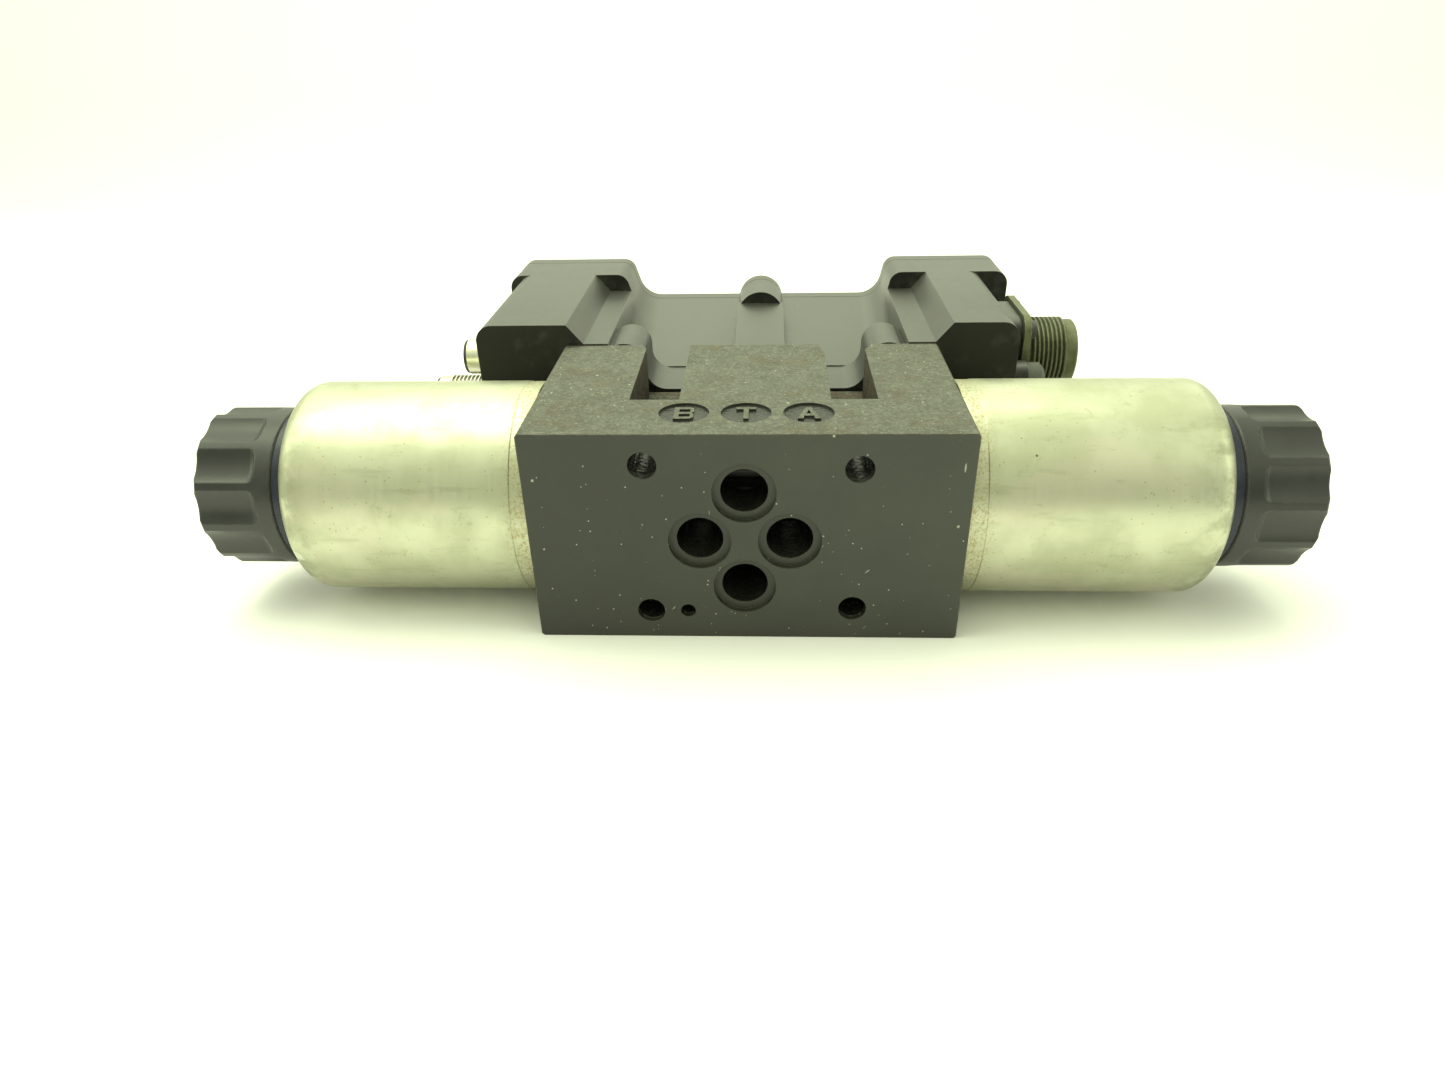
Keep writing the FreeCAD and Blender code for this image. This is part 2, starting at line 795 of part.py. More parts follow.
# --------------------------------------------------------------------------- hydraulic core
def spool():
    """Sliding spool with two control lands and two guide lands."""
    body = new_body("spool")
    body_y = "spool_depth"
    stations = [("spool_half", "spool_radius - spool_chamfer"),
                ("spool_half - spool_chamfer", "spool_radius"),
                ("guide_start", "spool_radius"), ("guide_start", "spool_neck"),
                ("land_end", "spool_neck"), ("land_end", "spool_radius"),
                ("land_start", "spool_radius"), ("land_start", "spool_neck")]
    right = [(f"centre_x + {x}", r) for x, r in stations]
    left = [(f"centre_x - ({x})", r) for x, r in reversed(stations)]
    ends = [("centre_x - spool_half", "0"), ("centre_x + spool_half", "0")]
    turned(body, ends + right + left, centre=(body_y, "0"))
    for sign in ("-", "+"):
        for place in ("land_start + land_groove", "land_end - land_groove",
                      "guide_start + guide_groove", "guide_start + 2 * guide_groove"):
            middle = f"centre_x {sign} ({place})"
            grooved(body, rectangle(f"{middle} - oil_groove_half", f"{middle} + oil_groove_half",
                                    "spool_radius - oil_groove_depth", "bore_radius"),
                    centre=(body_y, "0"))
    return node(body)


def spring_washer(side):
    """Flat washer that carries the centring spring on the end of the spool."""
    body = new_body(f"spring_washer_{side}", side)
    start = "spool_half - body_length / 2"
    turned(body, rectangle(start, f"{start} + washer_thickness", "push_pin_radius + washer_clearance",
                           "washer_radius"))
    return node(body)


def centering_spring(side):
    """Coil spring between the spool washer and the armature tube."""
    body = new_body(f"centering_spring_{side}", side)
    start = "spool_half - body_length / 2 + washer_thickness"
    sketch = sketch_on(body, "XY")
    circle(sketch, f"{start} + spring_wire", "spring_radius", "spring_wire")
    feature = body.newObject("PartDesign::AdditiveHelix", "Coils")
    feature.Profile = sketch
    feature.ReferenceAxis = (sketch, ["H_Axis"])
    feature.Mode = "height-turns-growth"
    bind(feature, "Height", f"tube_spring_seat - ({start}) - 2 * spring_wire - gap")
    bind(feature, "Turns", "spring_turns")
    DOC.recompute()
    return node(body)


def push_pin(side):
    """Pin that carries the armature's push to the spool."""
    body = new_body(f"push_pin_{side}", side)
    turned(body, rectangle("spool_half - body_length / 2", "armature_start", "0",
                           "push_pin_radius"))
    return node(body)


def armature(side):
    """Soft-iron armature with two pressure-balance holes."""
    body = new_body(f"armature_{side}", side)
    turned(body, rectangle("armature_start", "armature_end", "0", "armature_radius"))
    pocket(body, "YZ", "armature_start", "armature_end",
           ("0", "balance_hole_y", "balance_hole_radius"),
           ("0", "-balance_hole_y", "balance_hole_radius"))
    width = 2 * number("armature_radius")
    dress(body, "Chamfer", "armature_chamfer",
          lambda edge: abs(edge.BoundBox.YLength - width) < NEAR)
    return node(body)


def armature_tube(side):
    """Screw-in pressure tube with its pole piece and threaded end."""
    body = new_body(f"armature_tube_{side}", side)
    bore = "push_pin_radius + fit"
    step = "override_start + collar_thickness + collar_room"
    groove = "seal_x - seal_groove_half"
    land = "tube_radius + tube_step"
    socket = "override_collar + collar_clearance"
    turned(body, [("tube_front", "tube_recess_radius"), ("tube_front", "tube_thread_radius"),
                  (groove, "tube_thread_radius"), (groove, land), ("0", land),
                  ("0", "tube_radius"),
                  ("tube_tip_start", "tube_radius"), ("tube_tip_start", "tube_tip_radius"),
                  ("tube_end - tube_chamfer", "tube_tip_radius"),
                  ("tube_end", "tube_tip_radius - tube_chamfer"),
                  ("tube_end", "override_radius + fit"), (step, "override_radius + fit"),
                  (step, socket), ("armature_bore_end", socket),
                  ("armature_bore_end", "armature_bore"), ("pole_end", "armature_bore"),
                  ("pole_end", bore), ("tube_spring_seat", bore),
                  ("tube_spring_seat", "tube_recess_radius")])
    return node(body)


def tube_seal(side):
    """O-ring between the armature tube and the valve body."""
    body = new_body(f"tube_seal_{side}", side)
    turned(body, ("seal_x", "seal_radius", "seal_section"))
    return node(body)


def override_pin(side):
    """Manual override pin in the end of the armature tube."""
    body = new_body(f"override_pin_{side}", side)
    collar_end = "override_start + collar_thickness"
    turned(body, [("override_start", "0"), ("override_start", "override_collar"),
                  (collar_end, "override_collar"), (collar_end, "override_radius"),
                  ("override_end - override_chamfer", "override_radius"),
                  ("override_end", "override_radius - override_chamfer"),
                  ("override_end", "0")])
    return node(body)


# --------------------------------------------------------------------------- solenoid coil
def coil_shell(side):
    """Zinc-plated coil can with a rounded outer edge and a window for the plug."""
    body = new_body(f"coil_shell_{side}", side)
    inner = "coil_radius - can_wall"
    band_end = "coil_start + band_width"
    turned(body, [("coil_start", inner), ("coil_start", "coil_radius - band_step"),
                  (band_end, "coil_radius - band_step"),
                  (f"{band_end} + band_step", "coil_radius"),
                  ("coil_end", "coil_radius"), ("coil_end", "coil_bore"),
                  ("coil_end - can_end_wall", "coil_bore"),
                  ("coil_end - can_end_wall", inner)])
    rim = number("coil_radius") * 2
    sign = 1 if side == "a" else -1
    placed = number("centre_x") + sign * number("body_length / 2 + coil_end")

    def outer_rim(edge):
        box = edge.BoundBox
        flat = abs(box.YLength - rim) < NEAR and box.XLength < NEAR
        return flat and any(abs(box.XMin - x) < NEAR for x in (number("coil_end"), placed))
    dress(body, "Fillet", "coil_round", outer_rim)
    pocket(body, "XZ", "window_depth", "coil_radius + 1",
           rectangle("plug_x - plug_width / 2 - window_gap", "plug_x + plug_width / 2 + window_gap",
                     "-plug_height / 2 - window_gap", "plug_height / 2 + window_gap"))
    return node(body)


def coil_yoke_disc(side):
    """Steel disc that closes the coil can against the valve body."""
    body = new_body(f"coil_yoke_disc_{side}", side)
    turned(body, rectangle("coil_start", "coil_start + yoke_thickness", "coil_bore",
                           "coil_radius - can_wall"))
    return node(body)


def coil_bobbin(side):
    """Plastic bobbin that carries the winding."""
    body = new_body(f"coil_bobbin_{side}", side)
    start = "coil_start + yoke_thickness"
    end = "coil_end - can_end_wall"
    hub = "coil_bore + bobbin_wall"
    flange = "winding_radius + bobbin_lip"
    bore = "coil_bore + fit"
    turned(body, [(start, bore), (start, flange),
                  (f"{start} + bobbin_wall", flange), (f"{start} + bobbin_wall", hub),
                  (f"{end} - bobbin_wall", hub), (f"{end} - bobbin_wall", flange),
                  (end, flange), (end, bore)])
    return node(body)


def coil_winding(side):
    """Copper winding, as one solid sleeve."""
    body = new_body(f"coil_winding_{side}", side)
    turned(body, rectangle("coil_start + yoke_thickness + bobbin_wall",
                           "coil_end - can_end_wall - bobbin_wall",
                           "coil_bore + bobbin_wall", "winding_radius"))
    return node(body)


def coil_plug(side):
    """Moulded plug that carries the coil's two contacts into the housing."""
    body = new_body(f"coil_plug_{side}", side)
    low = "plug_x - plug_width / 2"
    high = "plug_x + plug_width / 2"
    front = "body_depth - spool_depth"
    pad(body, "XZ", "plug_front", f"{front} + housing_wall + plug_reach",
        rectangle(low, high, "-plug_height / 2", "plug_height / 2"))
    pad(body, "XZ", "coil_radius + fit", f"{front} - gap",
        rectangle(f"{low} - plug_collar", f"{high} + plug_collar",
                  "-plug_height / 2 - plug_collar", "plug_height / 2 + plug_collar"))
    return node(body)


def nut_seal(side):
    """Soft ring between the coil and its nut."""
    body = new_body(f"nut_seal_{side}", side)
    turned(body, rectangle("coil_end", "nut_start - gap", "coil_bore", "seal_ring_radius"))
    return node(body)


def coil_nut(side):
    """Fluted plastic nut that holds the coil on its tube."""
    body = new_body(f"coil_nut_{side}", side)
    own_turn = FreeCAD.Rotation(FreeCAD.Vector(1, 0, 0), number(f"nut_turn_{side}"))
    body.Placement.Rotation = body.Placement.Rotation.multiply(own_turn)
    turned(body, [("nut_start", "nut_bore"), ("nut_start", "nut_radius - nut_near_chamfer"),
                  ("nut_start + nut_near_chamfer", "nut_radius"),
                  ("nut_end - nut_far_chamfer", "nut_radius"),
                  ("nut_end", "nut_radius - nut_far_chamfer"), ("nut_end", "nut_recess_radius"),
                  ("nut_end - nut_recess", "nut_recess_radius"),
                  ("nut_end - nut_recess", "nut_bore")])
    flute_axis = "nut_radius - flute_depth + flute_radius"
    sketch = sketch_on(body, "XY")
    bind(sketch, "AttachmentOffset.Base.y", flute_axis)
    steps = [("flute_start", "0"), ("flute_start", "flute_radius - flute_round"),
             ("flute_start + flute_round * (1 - cos(30))",
              "flute_radius - flute_round * (1 - sin(30))"),
             ("flute_start + flute_round * (1 - cos(60))",
              "flute_radius - flute_round * (1 - sin(60))"),
             ("flute_start + flute_round", "flute_radius"),
             ("nut_end + 1", "flute_radius"), ("nut_end + 1", "0")]
    polygon(sketch, steps)
    groove = body.newObject("PartDesign::Groove", "Flute")
    groove.Profile = sketch
    groove.ReferenceAxis = (sketch, ["H_Axis"])
    groove.Angle = 360
    DOC.recompute()
    pattern = body.newObject("PartDesign::PolarPattern", "Flutes")
    pattern.Originals = [groove]
    axis = [f for f in body.Origin.OriginFeatures if f.Role == "X_Axis"][0]
    pattern.Axis = (axis, [""])
    pattern.Angle = 360
    body.Tip = pattern
    bind(pattern, "Occurrences", "flute_count")
    DOC.recompute()
    return node(body)


# --------------------------------------------------------------------------- housing
def wall_x(side, height):
    """Where the slanted wall from shoulder to waist stands at a height."""
    slant = f"(neck_back_z - ({height})) / (tower_top - neck_back_z)"
    return f"waist_{side}_x + {slant} * (waist_{side}_x - shoulder_{side}_x)"


def flange_outline(drop="0"):
    """Waisted outline of the flange, its gasket and the cover, the waist sunk by a drop."""
    waist = f"neck_back_z - {drop}"
    return mirrored([("flange_left", "tower_top"), ("shoulder_left_x", "tower_top"),
                     (wall_x("left", waist), waist), (wall_x("right", waist), waist),
                     ("shoulder_right_x", "tower_top"), ("flange_right", "tower_top")])


def round_flange(body, start, end, waist_too=True):
    """Round the corners of the waisted outline between two depths."""
    low, high = number(start), number(end)
    top = number("tower_top")
    waist = number("neck_back_z")

    def corner(names, z_low, z_high):
        places = [number(name) for name in names]

        def passes(edge):
            box = edge.BoundBox
            whole = abs(box.YMin - low) < NEAR and abs(box.YMax - high) < NEAR
            near = any(abs(box.Center.x - place) < BESIDE for place in places)
            heights = sorted((abs(box.ZMin), abs(box.ZMax)))
            return whole and near and z_low - NEAR < heights[0] and heights[1] < z_high + NEAR
        return passes
    dress(body, "Fillet", "flange_round", corner(("flange_left", "flange_right"), top, top))
    dress(body, "Fillet", "shoulder_round",
          corner(("shoulder_left_x", "shoulder_right_x"), top, top))
    if waist_too:
        dress(body, "Fillet", "waist_round",
              corner(("waist_left_x", "waist_right_x"), waist, waist))


def cavity_outline(gap="0"):
    """Inside of the flange, clear of the cover screws, shrunk all round by a gap."""
    top = f"cavity_top - {gap}"
    side = f"cavity_corner_z - {gap}"
    waist = f"cavity_waist_z - {gap}"
    bay = f"cavity_boss_z - {gap}"
    return mirrored([(f"cavity_left + {gap}", side),
                     (f"cavity_left + cavity_corner_run + {gap}", top),
                     (f"cavity_shoulder_left - {gap}", top),
                     (f"cavity_waist_left - {gap}", waist),
                     (f"boss_x - boss_bay_foot - {gap}", waist),
                     (f"boss_x - boss_bay_top - {gap}", bay),
                     (f"boss_x + boss_bay_top + {gap}", bay),
                     (f"boss_x + boss_bay_foot + {gap}", waist),
                     (f"cavity_waist_right + {gap}", waist),
                     (f"cavity_shoulder_right + {gap}", top),
                     (f"cavity_right - cavity_corner_run - {gap}", top),
                     (f"cavity_right - {gap}", side)])


def middle_bosses(body, start, end):
    """Round bosses for the two middle cover screws."""
    pad(body, "XZ", start, end, ("boss_x", "boss_z", "boss_radius"))
    pad(body, "XZ", start, end, ("boss_x", "-boss_z", "boss_radius"))


def tower_outline(side):
    """End view of one tower: sloping shoulder, ledge, and the wall that slants into the neck."""
    foot = "neck_front_z - neck_overlap"
    return mirrored([(f"tower_{side}", "tower_top"), (f"tower_{side}_slope", "tower_top"),
                     (f"tower_{side}_ledge", "tower_ledge"),
                     (wall_x(side, "tower_ledge"), "tower_ledge"),
                     (wall_x(side, foot), foot), (f"tower_{side}_inner", foot)])


def slab_outline():
    """End view of the slab at the front of the neck, with a column at each corner."""
    return mirrored([("column_left_x - column_width", "column_top"),
                     ("column_left_x", "column_top"), ("column_left_x", "neck_front_z"),
                     ("column_right_x", "neck_front_z"), ("column_right_x", "column_top"),
                     ("column_right_x + column_width", "column_top")])


def electronics_housing():
    """Die-cast housing: two towers over the coils, a low neck, and a wide back flange."""
    body = new_body("electronics_housing")
    neck_start = "body_depth + gasket_thickness"
    pad(body, "XZ", neck_start, "neck_flat_end", slab_outline())
    inner_sides = (number("column_left_x"), number("column_right_x"))
    feet = (number("neck_front_z"), -number("neck_front_z"))
    dress(body, "Fillet", "column_foot_round", edge_at(x=inner_sides, z=feet))
    heads = (number("column_top"), -number("column_top"))
    outer_sides = (number("column_left_x - column_width"), number("column_right_x + column_width"))
    dress(body, "Fillet", "column_top_round", edge_at(x=inner_sides + outer_sides, z=heads))
    pad(body, "XZ", "body_depth", "flange_front", tower_outline("left"))
    pad(body, "XZ", "body_depth", "flange_front", tower_outline("right"))
    sides = (number("tower_left"), number("tower_right"))
    tops = (number("tower_top"), -number("tower_top"))
    dress(body, "Fillet", "tower_round", edge_at(x=sides, z=tops))
    pad(body, "YZ", "tower_left_inner - neck_overlap", "tower_right_inner + neck_overlap",
        mirrored([("neck_flat_end", "neck_front_z + neck_step"), ("flange_back", "neck_back_z")]))
    pad(body, "XZ", "flange_front", "flange_back", flange_outline("waist_sink"))
    round_flange(body, "flange_front", "flange_back", waist_too=False)
    dress(body, "Fillet", "waist_round", valley_foot)
    for sign in ("", "-"):
        rib = [(f"{neck_start} + rib_gap", f"{sign}rib_core_z"),
               (f"{neck_start} + rib_gap", f"{sign}rib_front_z"),
               ("flange_front + 1", f"{sign}rib_back_z"),
               ("flange_front + 1", f"{sign}rib_core_z")]
        pad(body, "YZ", "boss_x - rib_half", "boss_x + rib_half", rib)
    middle_bosses(body, "flange_front", "flange_back")
    hollow_housing(body)
    connector_pads(body)
    return node(body)


def valley_foot(edge):
    """Whether an edge is where a slanted wall runs down into the rising neck."""
    box = edge.BoundBox
    height = abs(box.Center.z)
    low, high = number("neck_front_z"), number("neck_back_z")
    on_wall = any(abs(box.Center.x - number(wall_x(side, str(height)))) < BESIDE
                  for side in ("left", "right"))
    return on_wall and low < height < high and box.YLength > number("neck_overlap")


def hollow_housing(body):
    """Cavities behind the cover, the cover screw holes and the windows for the coil plugs."""
    pocket(body, "XZ", "board_seat", "flange_back", cavity_outline())
    left = rectangle("tower_left + housing_wall", "tower_left_inner - housing_wall",
                     "-cavity_z", "cavity_z")
    right = rectangle("tower_right_inner + housing_wall", "tower_right - housing_wall",
                      "-cavity_z", "cavity_z")
    pocket(body, "XZ", "cavity_front", "board_seat", left, right)
    pocket(body, "XZ", "neck_cavity_front", "board_seat",
           rectangle("tower_left_inner + neck_wall", "tower_right_inner - neck_wall",
                     "-neck_cavity_z", "neck_cavity_z"))
    pocket(body, "XZ", "flange_back - cover_thread_depth", "flange_back",
           *cover_screw_holes("cover_thread_radius"))
    pocket(body, "XZ", "board_seat - board_thread_depth", "board_seat",
           *board_screw_holes("board_thread_radius"))
    pocket(body, "XZ", "body_depth", "neck_cavity_front",
           *housing_screw_holes("screw_clearance_radius"))
    half = "body_length / 2 + plug_x"
    for x in (f"centre_x + {half}", f"centre_x - ({half})"):
        pocket(body, "XZ", "body_depth", "cavity_front",
               rectangle(f"{x} - plug_width / 2 - window_gap", f"{x} + plug_width / 2 + window_gap",
                         "-plug_height / 2 - window_gap", "plug_height / 2 + window_gap"))


def cover_screw_holes(radius):
    """Six round holes shared by the housing, its gasket and the back cover."""
    places = [("corner_screw_left", "corner_screw_z"), ("corner_screw_right", "corner_screw_z"),
              ("boss_x", "boss_z")]
    return [(x, f"{sign}{z}", radius) for x, z in places for sign in ("", "-")]


def board_screw_holes(radius):
    """Four round holes on the pattern of the board's screws."""
    return [(x, f"{sign}board_screw_z", radius)
            for x in ("board_screw_left", "board_screw_right") for sign in ("", "-")]


def main_screw_holes(radius):
    """Four round holes at the corners of the main connector's plate."""
    return [(f"main_y {across} main_screw_pitch", f"main_z {up} main_screw_pitch", radius)
            for across in "+-" for up in "+-"]


def connector_pads(body):
    """Pads and wall holes for the connectors."""
    pad(body, "YZ", "tower_right - 2", "pad_end", ("main_y", "main_z", "pad_half", "pad_round"))
    pad(body, "YZ", "tower_right - 1", "stopper_boss_end",
        ("stopper_y", "stopper_z", "stopper_boss"))
    pocket(body, "YZ", "tower_right - housing_wall - 1", "pad_end",
           ("main_y", "main_z", "main_bore + main_bore_gap"))
    pocket(body, "YZ", "pad_end - main_thread_hole_depth", "pad_end",
           *main_screw_holes("main_thread_hole"))
    pocket(body, "YZ", "tower_right - housing_wall - 1", "stopper_boss_end",
           ("stopper_y", "stopper_z", "stopper_hole"))
    pocket(body, "YZ", "tower_left", "tower_left + housing_wall",
           ("socket_y", "socket_z", "socket_wall_radius + fit"),
           ("bus_y", "bus_z", "bus_wall_radius + fit"))


def housing_gasket():
    """Flat gasket between the valve body and the housing neck."""
    body = new_body("housing_gasket")
    pad(body, "XZ", "body_depth", "body_depth + gasket_thickness",
        rectangle("tower_left_inner + neck_overlap", "tower_right_inner - neck_overlap",
                  "-neck_front_z + gasket_inset", "neck_front_z - gasket_inset"),
        *housing_screw_holes("screw_gasket_radius"))
    return node(body)


def cover_gasket():
    """Gasket between the housing flange and the back cover."""
    body = new_body("cover_gasket")
    pad(body, "XZ", "flange_back", "cover_front", flange_outline())
    round_flange(body, "flange_back", "cover_front")
    middle_bosses(body, "flange_back", "cover_front")
    pocket(body, "XZ", "flange_back", "cover_front", cavity_outline())
    pocket(body, "XZ", "flange_back", "cover_front", *cover_screw_holes("cover_hole_radius"))
    return node(body)


def back_cover():
    """Flat cover on the back of the housing, with six countersunk holes."""
    body = new_body("back_cover")
    pad(body, "XZ", "cover_front", "cover_back", flange_outline())
    round_flange(body, "cover_front", "cover_back")
    middle_bosses(body, "cover_front", "cover_back")
    pocket(body, "XZ", "cover_front", "cover_back", *cover_screw_holes("cover_hole_radius"))
    pocket(body, "XZ", "cover_back - cover_sink", "cover_back",
           *cover_screw_holes("cover_sink_radius"))
    return node(body)


def screw(label, head_radius, head, shank_radius, length, socket):
    """Cap screw with its head towards +Y, its seat at the local origin."""
    body = new_body(label)
    pad(body, "XZ", f"-{length}", "0", ("0", "0", shank_radius))
    pad(body, "XZ", "0", head, ("0", "0", head_radius))
    corner = f"{socket} * hexagon_rise"
    hexagon = [(socket, "0"), (f"{socket} / 2", corner), (f"-{socket} / 2", corner),
               (f"-{socket}", "0"), (f"-{socket} / 2", f"-({corner})"),
               (f"{socket} / 2", f"-({corner})")]
    pocket(body, "XZ", f"{head} * socket_share", head, hexagon)
    return body


def screws():
    """The three sets of screws whose heads face the back."""
    small = screw("housing_screw", "screw_head_radius", "screw_head", "screw_shank_radius",
                  "screw_length", "screw_socket")
    node(copies("housing_screws", small, both_signs(
        [("screw_left_x", "neck_cavity_front", "screw_z"),
         ("screw_right_x", "neck_cavity_front", "screw_z")])))
    cover = screw("cover_screw", "cover_head_radius", "cover_head", "cover_shank_radius",
                  "cover_screw_length", "cover_socket")
    seat = "cover_back - cover_sink"
    node(copies("cover_screws", cover, both_signs(
        [("corner_screw_left", seat, "corner_screw_z"),
         ("corner_screw_right", seat, "corner_screw_z"), ("boss_x", seat, "boss_z")])))
    board = screw("board_screw", "board_head_radius", "board_head", "board_shank_radius",
                  "board_thread_depth", "board_socket")
    top = "board_seat + board_thickness"
    node(copies("board_screws", board, both_signs(
        [("board_screw_left", top, "board_screw_z"),
         ("board_screw_right", top, "board_screw_z")])))


# --------------------------------------------------------------------------- electronics
def circuit_board():
    """Driver board, waisted like the flange, resting on the cavity's shoulder."""
    body = new_body("circuit_board")
    pad(body, "XZ", "board_seat", "board_seat + board_thickness", cavity_outline("board_gap"))
    pocket(body, "XZ", "board_seat", "board_seat + board_thickness",
           *board_screw_holes("board_hole_radius"))
    return node(body)


def board_parts():
    """Capacitors facing into the towers, and flat chips on the cover side."""
    can = new_body("capacitor")
    pad(can, "XZ", "-capacitor_height", "0", ("0", "0", "capacitor_radius"))
    seat = "board_seat"
    node(copies("board_capacitors", can,
                [("capacitor_far_x", seat, "-capacitor_z"), ("capacitor_far_x", seat, "capacitor_z"),
                 ("capacitor_near_x", seat, "0"), ("capacitor_right_x", seat, "-capacitor_z")]))
    chip = new_body("chip")
    pad(chip, "XZ", "0", "chip_height",
        rectangle("-chip_half", "chip_half", "-chip_half", "chip_half"))
    top = "board_seat + board_thickness"
    node(copies("board_chips", chip,
                [("chip_left_x", top, "-chip_half"), ("-chip_middle_x", top, "0"),
                 ("chip_middle_x", top, "0"), ("chip_right_x", top, "chip_z"),
                 ("chip_right_x", top, "-chip_z")]))


def coil_leads(side):
    """Two insulated leads from the coil plug to the board."""
    centre = "centre_x + body_length / 2 + plug_x" if side == "a" else \
        "centre_x - body_length / 2 - plug_x"
    start = "body_depth + housing_wall + plug_reach"
    wire = new_body(f"lead_{side}")
    sketch = sketch_on(wire, "XZ", start)
    circle(sketch, centre, "0", "lead_radius")
    path = sketch_on(wire, "XY")
    x = number(centre)
    low = number(start)
    high = number("board_seat - lead_gap")
    bow = FreeCAD.Vector(x + number("lead_bow"), (low + high) / 2, 0)
    path.addGeometry(Part.Arc(FreeCAD.Vector(x, low, 0), bow, FreeCAD.Vector(x, high, 0)))
    place_point(path, 0, 1, centre, start)
    place_point(path, 0, 2, centre, "board_seat - lead_gap")
    rule = path.addConstraint(Sketcher.Constraint("Radius", 0, path.Geometry[0].Radius))
    bind(path, f"Constraints[{rule}]", "lead_bend")
    pipe = wire.newObject("PartDesign::AdditivePipe", "Wire")
    pipe.Profile = sketch
    pipe.Spine = (path, ["Edge1"])
    DOC.recompute()
    return node(copies(f"coil_leads_{side}", wire, [("0", "0", "lead_half_pitch"),
                                                   ("0", "0", "-lead_half_pitch")]))


# --------------------------------------------------------------------------- connectors
def thread_profile(start, end, pitch, radius, depth, count, sign="+"):
    """Ridges of a thread seen from the side, as points outward along the axis."""
    points = []
    for index in range(count):
        foot = f"{start} {sign} {pitch} * {index}"
        points += [(foot, f"{radius} - {depth}"),
                   (f"{foot} {sign} {pitch} * ridge_rise", radius),
                   (f"{foot} {sign} {pitch} * ridge_fall", radius)]
    points.append((end, f"{radius} - {depth}"))
    return points


def main_connector():
    """Seven-way supply and signal connector on the right-hand tower."""
    gasket = new_body("main_connector_gasket")
    plate = ("main_y", "main_z", "main_plate_half", "main_plate_round")
    holes = main_screw_holes("main_screw_hole")
    pad(gasket, "YZ", "pad_end", "main_gasket_end",
        ("main_y", "main_z", "pad_half", "pad_round"),
        ("main_y", "main_z", "main_bore + main_bore_gap"), *holes)
    node(gasket)

    shell = new_body("main_connector_shell")
    pad(shell, "YZ", "main_gasket_end", "main_plate_end", plate)
    ridges = thread_profile("main_thread_start", "main_thread_end", "main_pitch",
                            "main_thread_radius", "main_thread_depth", 8)
    foot = "main_plate_end - main_rebate"
    turned(shell, [(foot, "main_bore"), (foot, "main_neck"),
                   ("main_thread_start", "main_neck")] + ridges
           + [("main_thread_end", "main_tip_radius"),
              ("main_tip_end - main_tip_chamfer", "main_tip_radius"),
              ("main_tip_end", "main_tip_radius - main_tip_chamfer"),
              ("main_tip_end", "main_bore")],
           centre=("main_y", "main_z"))
    pocket(shell, "YZ", "main_gasket_end", "main_plate_end", *holes)
    pocket(shell, "YZ", "main_gasket_end", "main_plate_end", ("main_y", "main_z", "main_bore"))
    node(shell)

    insert = new_body("main_connector_insert")
    ring = [("0", "pin_ring_radius")]
    ring += [("pin_ring_side", "pin_ring_half"), ("-pin_ring_side", "pin_ring_half")]
    ring += [(across, f"-{up}") for across, up in ring]
    places = [("main_y", "main_z")]
    places += [(f"main_y + ({across})", f"main_z + ({up})") for across, up in ring]
    pad(insert, "YZ", "tower_right - main_insert_reach", "main_thread_end - main_insert_recess",
        ("main_y", "main_z", "main_bore - gap"), *[(y, z, "main_pin_hole") for y, z in places])
    node(insert)

    pin = new_body("main_pin")
    pad(pin, "YZ", "tower_right - main_pin_reach", "main_tip_end - main_pin_recess",
        ("0", "0", "main_pin_radius"))
    node(copies("main_connector_pins", pin, [("0", y, z) for y, z in places]))

    bolt = new_body("plate_screw")
    pad(bolt, "YZ", "-plate_screw_length", "0", ("0", "0", "plate_screw_radius"))
    pad(bolt, "YZ", "0", "plate_head", ("0", "0", "plate_head_radius"))
    pocket(bolt, "YZ", "plate_slot_floor", "plate_head",
           rectangle("-plate_slot_half", "plate_slot_half", "-plate_slot_length",
                     "plate_slot_length"))
    node(copies("main_connector_screws", bolt,
                [("main_plate_end", y, z) for y, z, _ in holes]))


def round_socket(name, kind, outline):
    """Round connector through the left-hand wall: shell with nut, insert and pins."""
    y, z, tip, bore = (f"{kind}_{size}" for size in ("y", "z", "tip", "bore"))
    wall_radius, nut_radius = f"{kind}_wall_radius", f"{kind}_nut_radius"
    pitch = f"{kind}_pin_pitch"
    inner = "tower_left + housing_wall"
    nut_end = f"{inner} + nut_height"
    shell = new_body(f"{name}_shell")
    turned(shell, outline + [("tower_left", wall_radius), (inner, wall_radius),
                             (inner, nut_radius), (nut_end, nut_radius), (nut_end, bore)],
           centre=(y, z))
    node(shell)

    insert = new_body(f"{name}_insert")
    rim, rim_radius = outline[1]
    back = f"{inner} + insert_back"
    floor = f"{rim} + insert_floor"
    hollow = f"{bore} - insert_lip"
    turned(insert, [(tip, hollow), (tip, f"{rim_radius} - insert_rim"),
                    (f"{rim} - gap", f"{rim_radius} - fit"), (f"{rim} - gap", f"{bore} - gap"),
                    (back, f"{bore} - gap"), (back, "0"), (floor, "0"), (floor, hollow)],
           centre=(y, z))
    places = [(f"{y} {across} {pitch}", f"{z} {up} {pitch}") for across in "+-" for up in "+-"]
    pocket(insert, "YZ", f"{floor} - fit", back,
           *[(across, up, "small_pin_hole") for across, up in places])
    node(insert)

    pin = new_body(f"{name}_pin")
    pad(pin, "YZ", f"{rim} + small_pin_recess", f"{inner} + small_pin_reach",
        ("0", "0", "small_pin_radius"))
    node(copies(f"{name}_pins", pin, [("0", across, up) for across, up in places]))


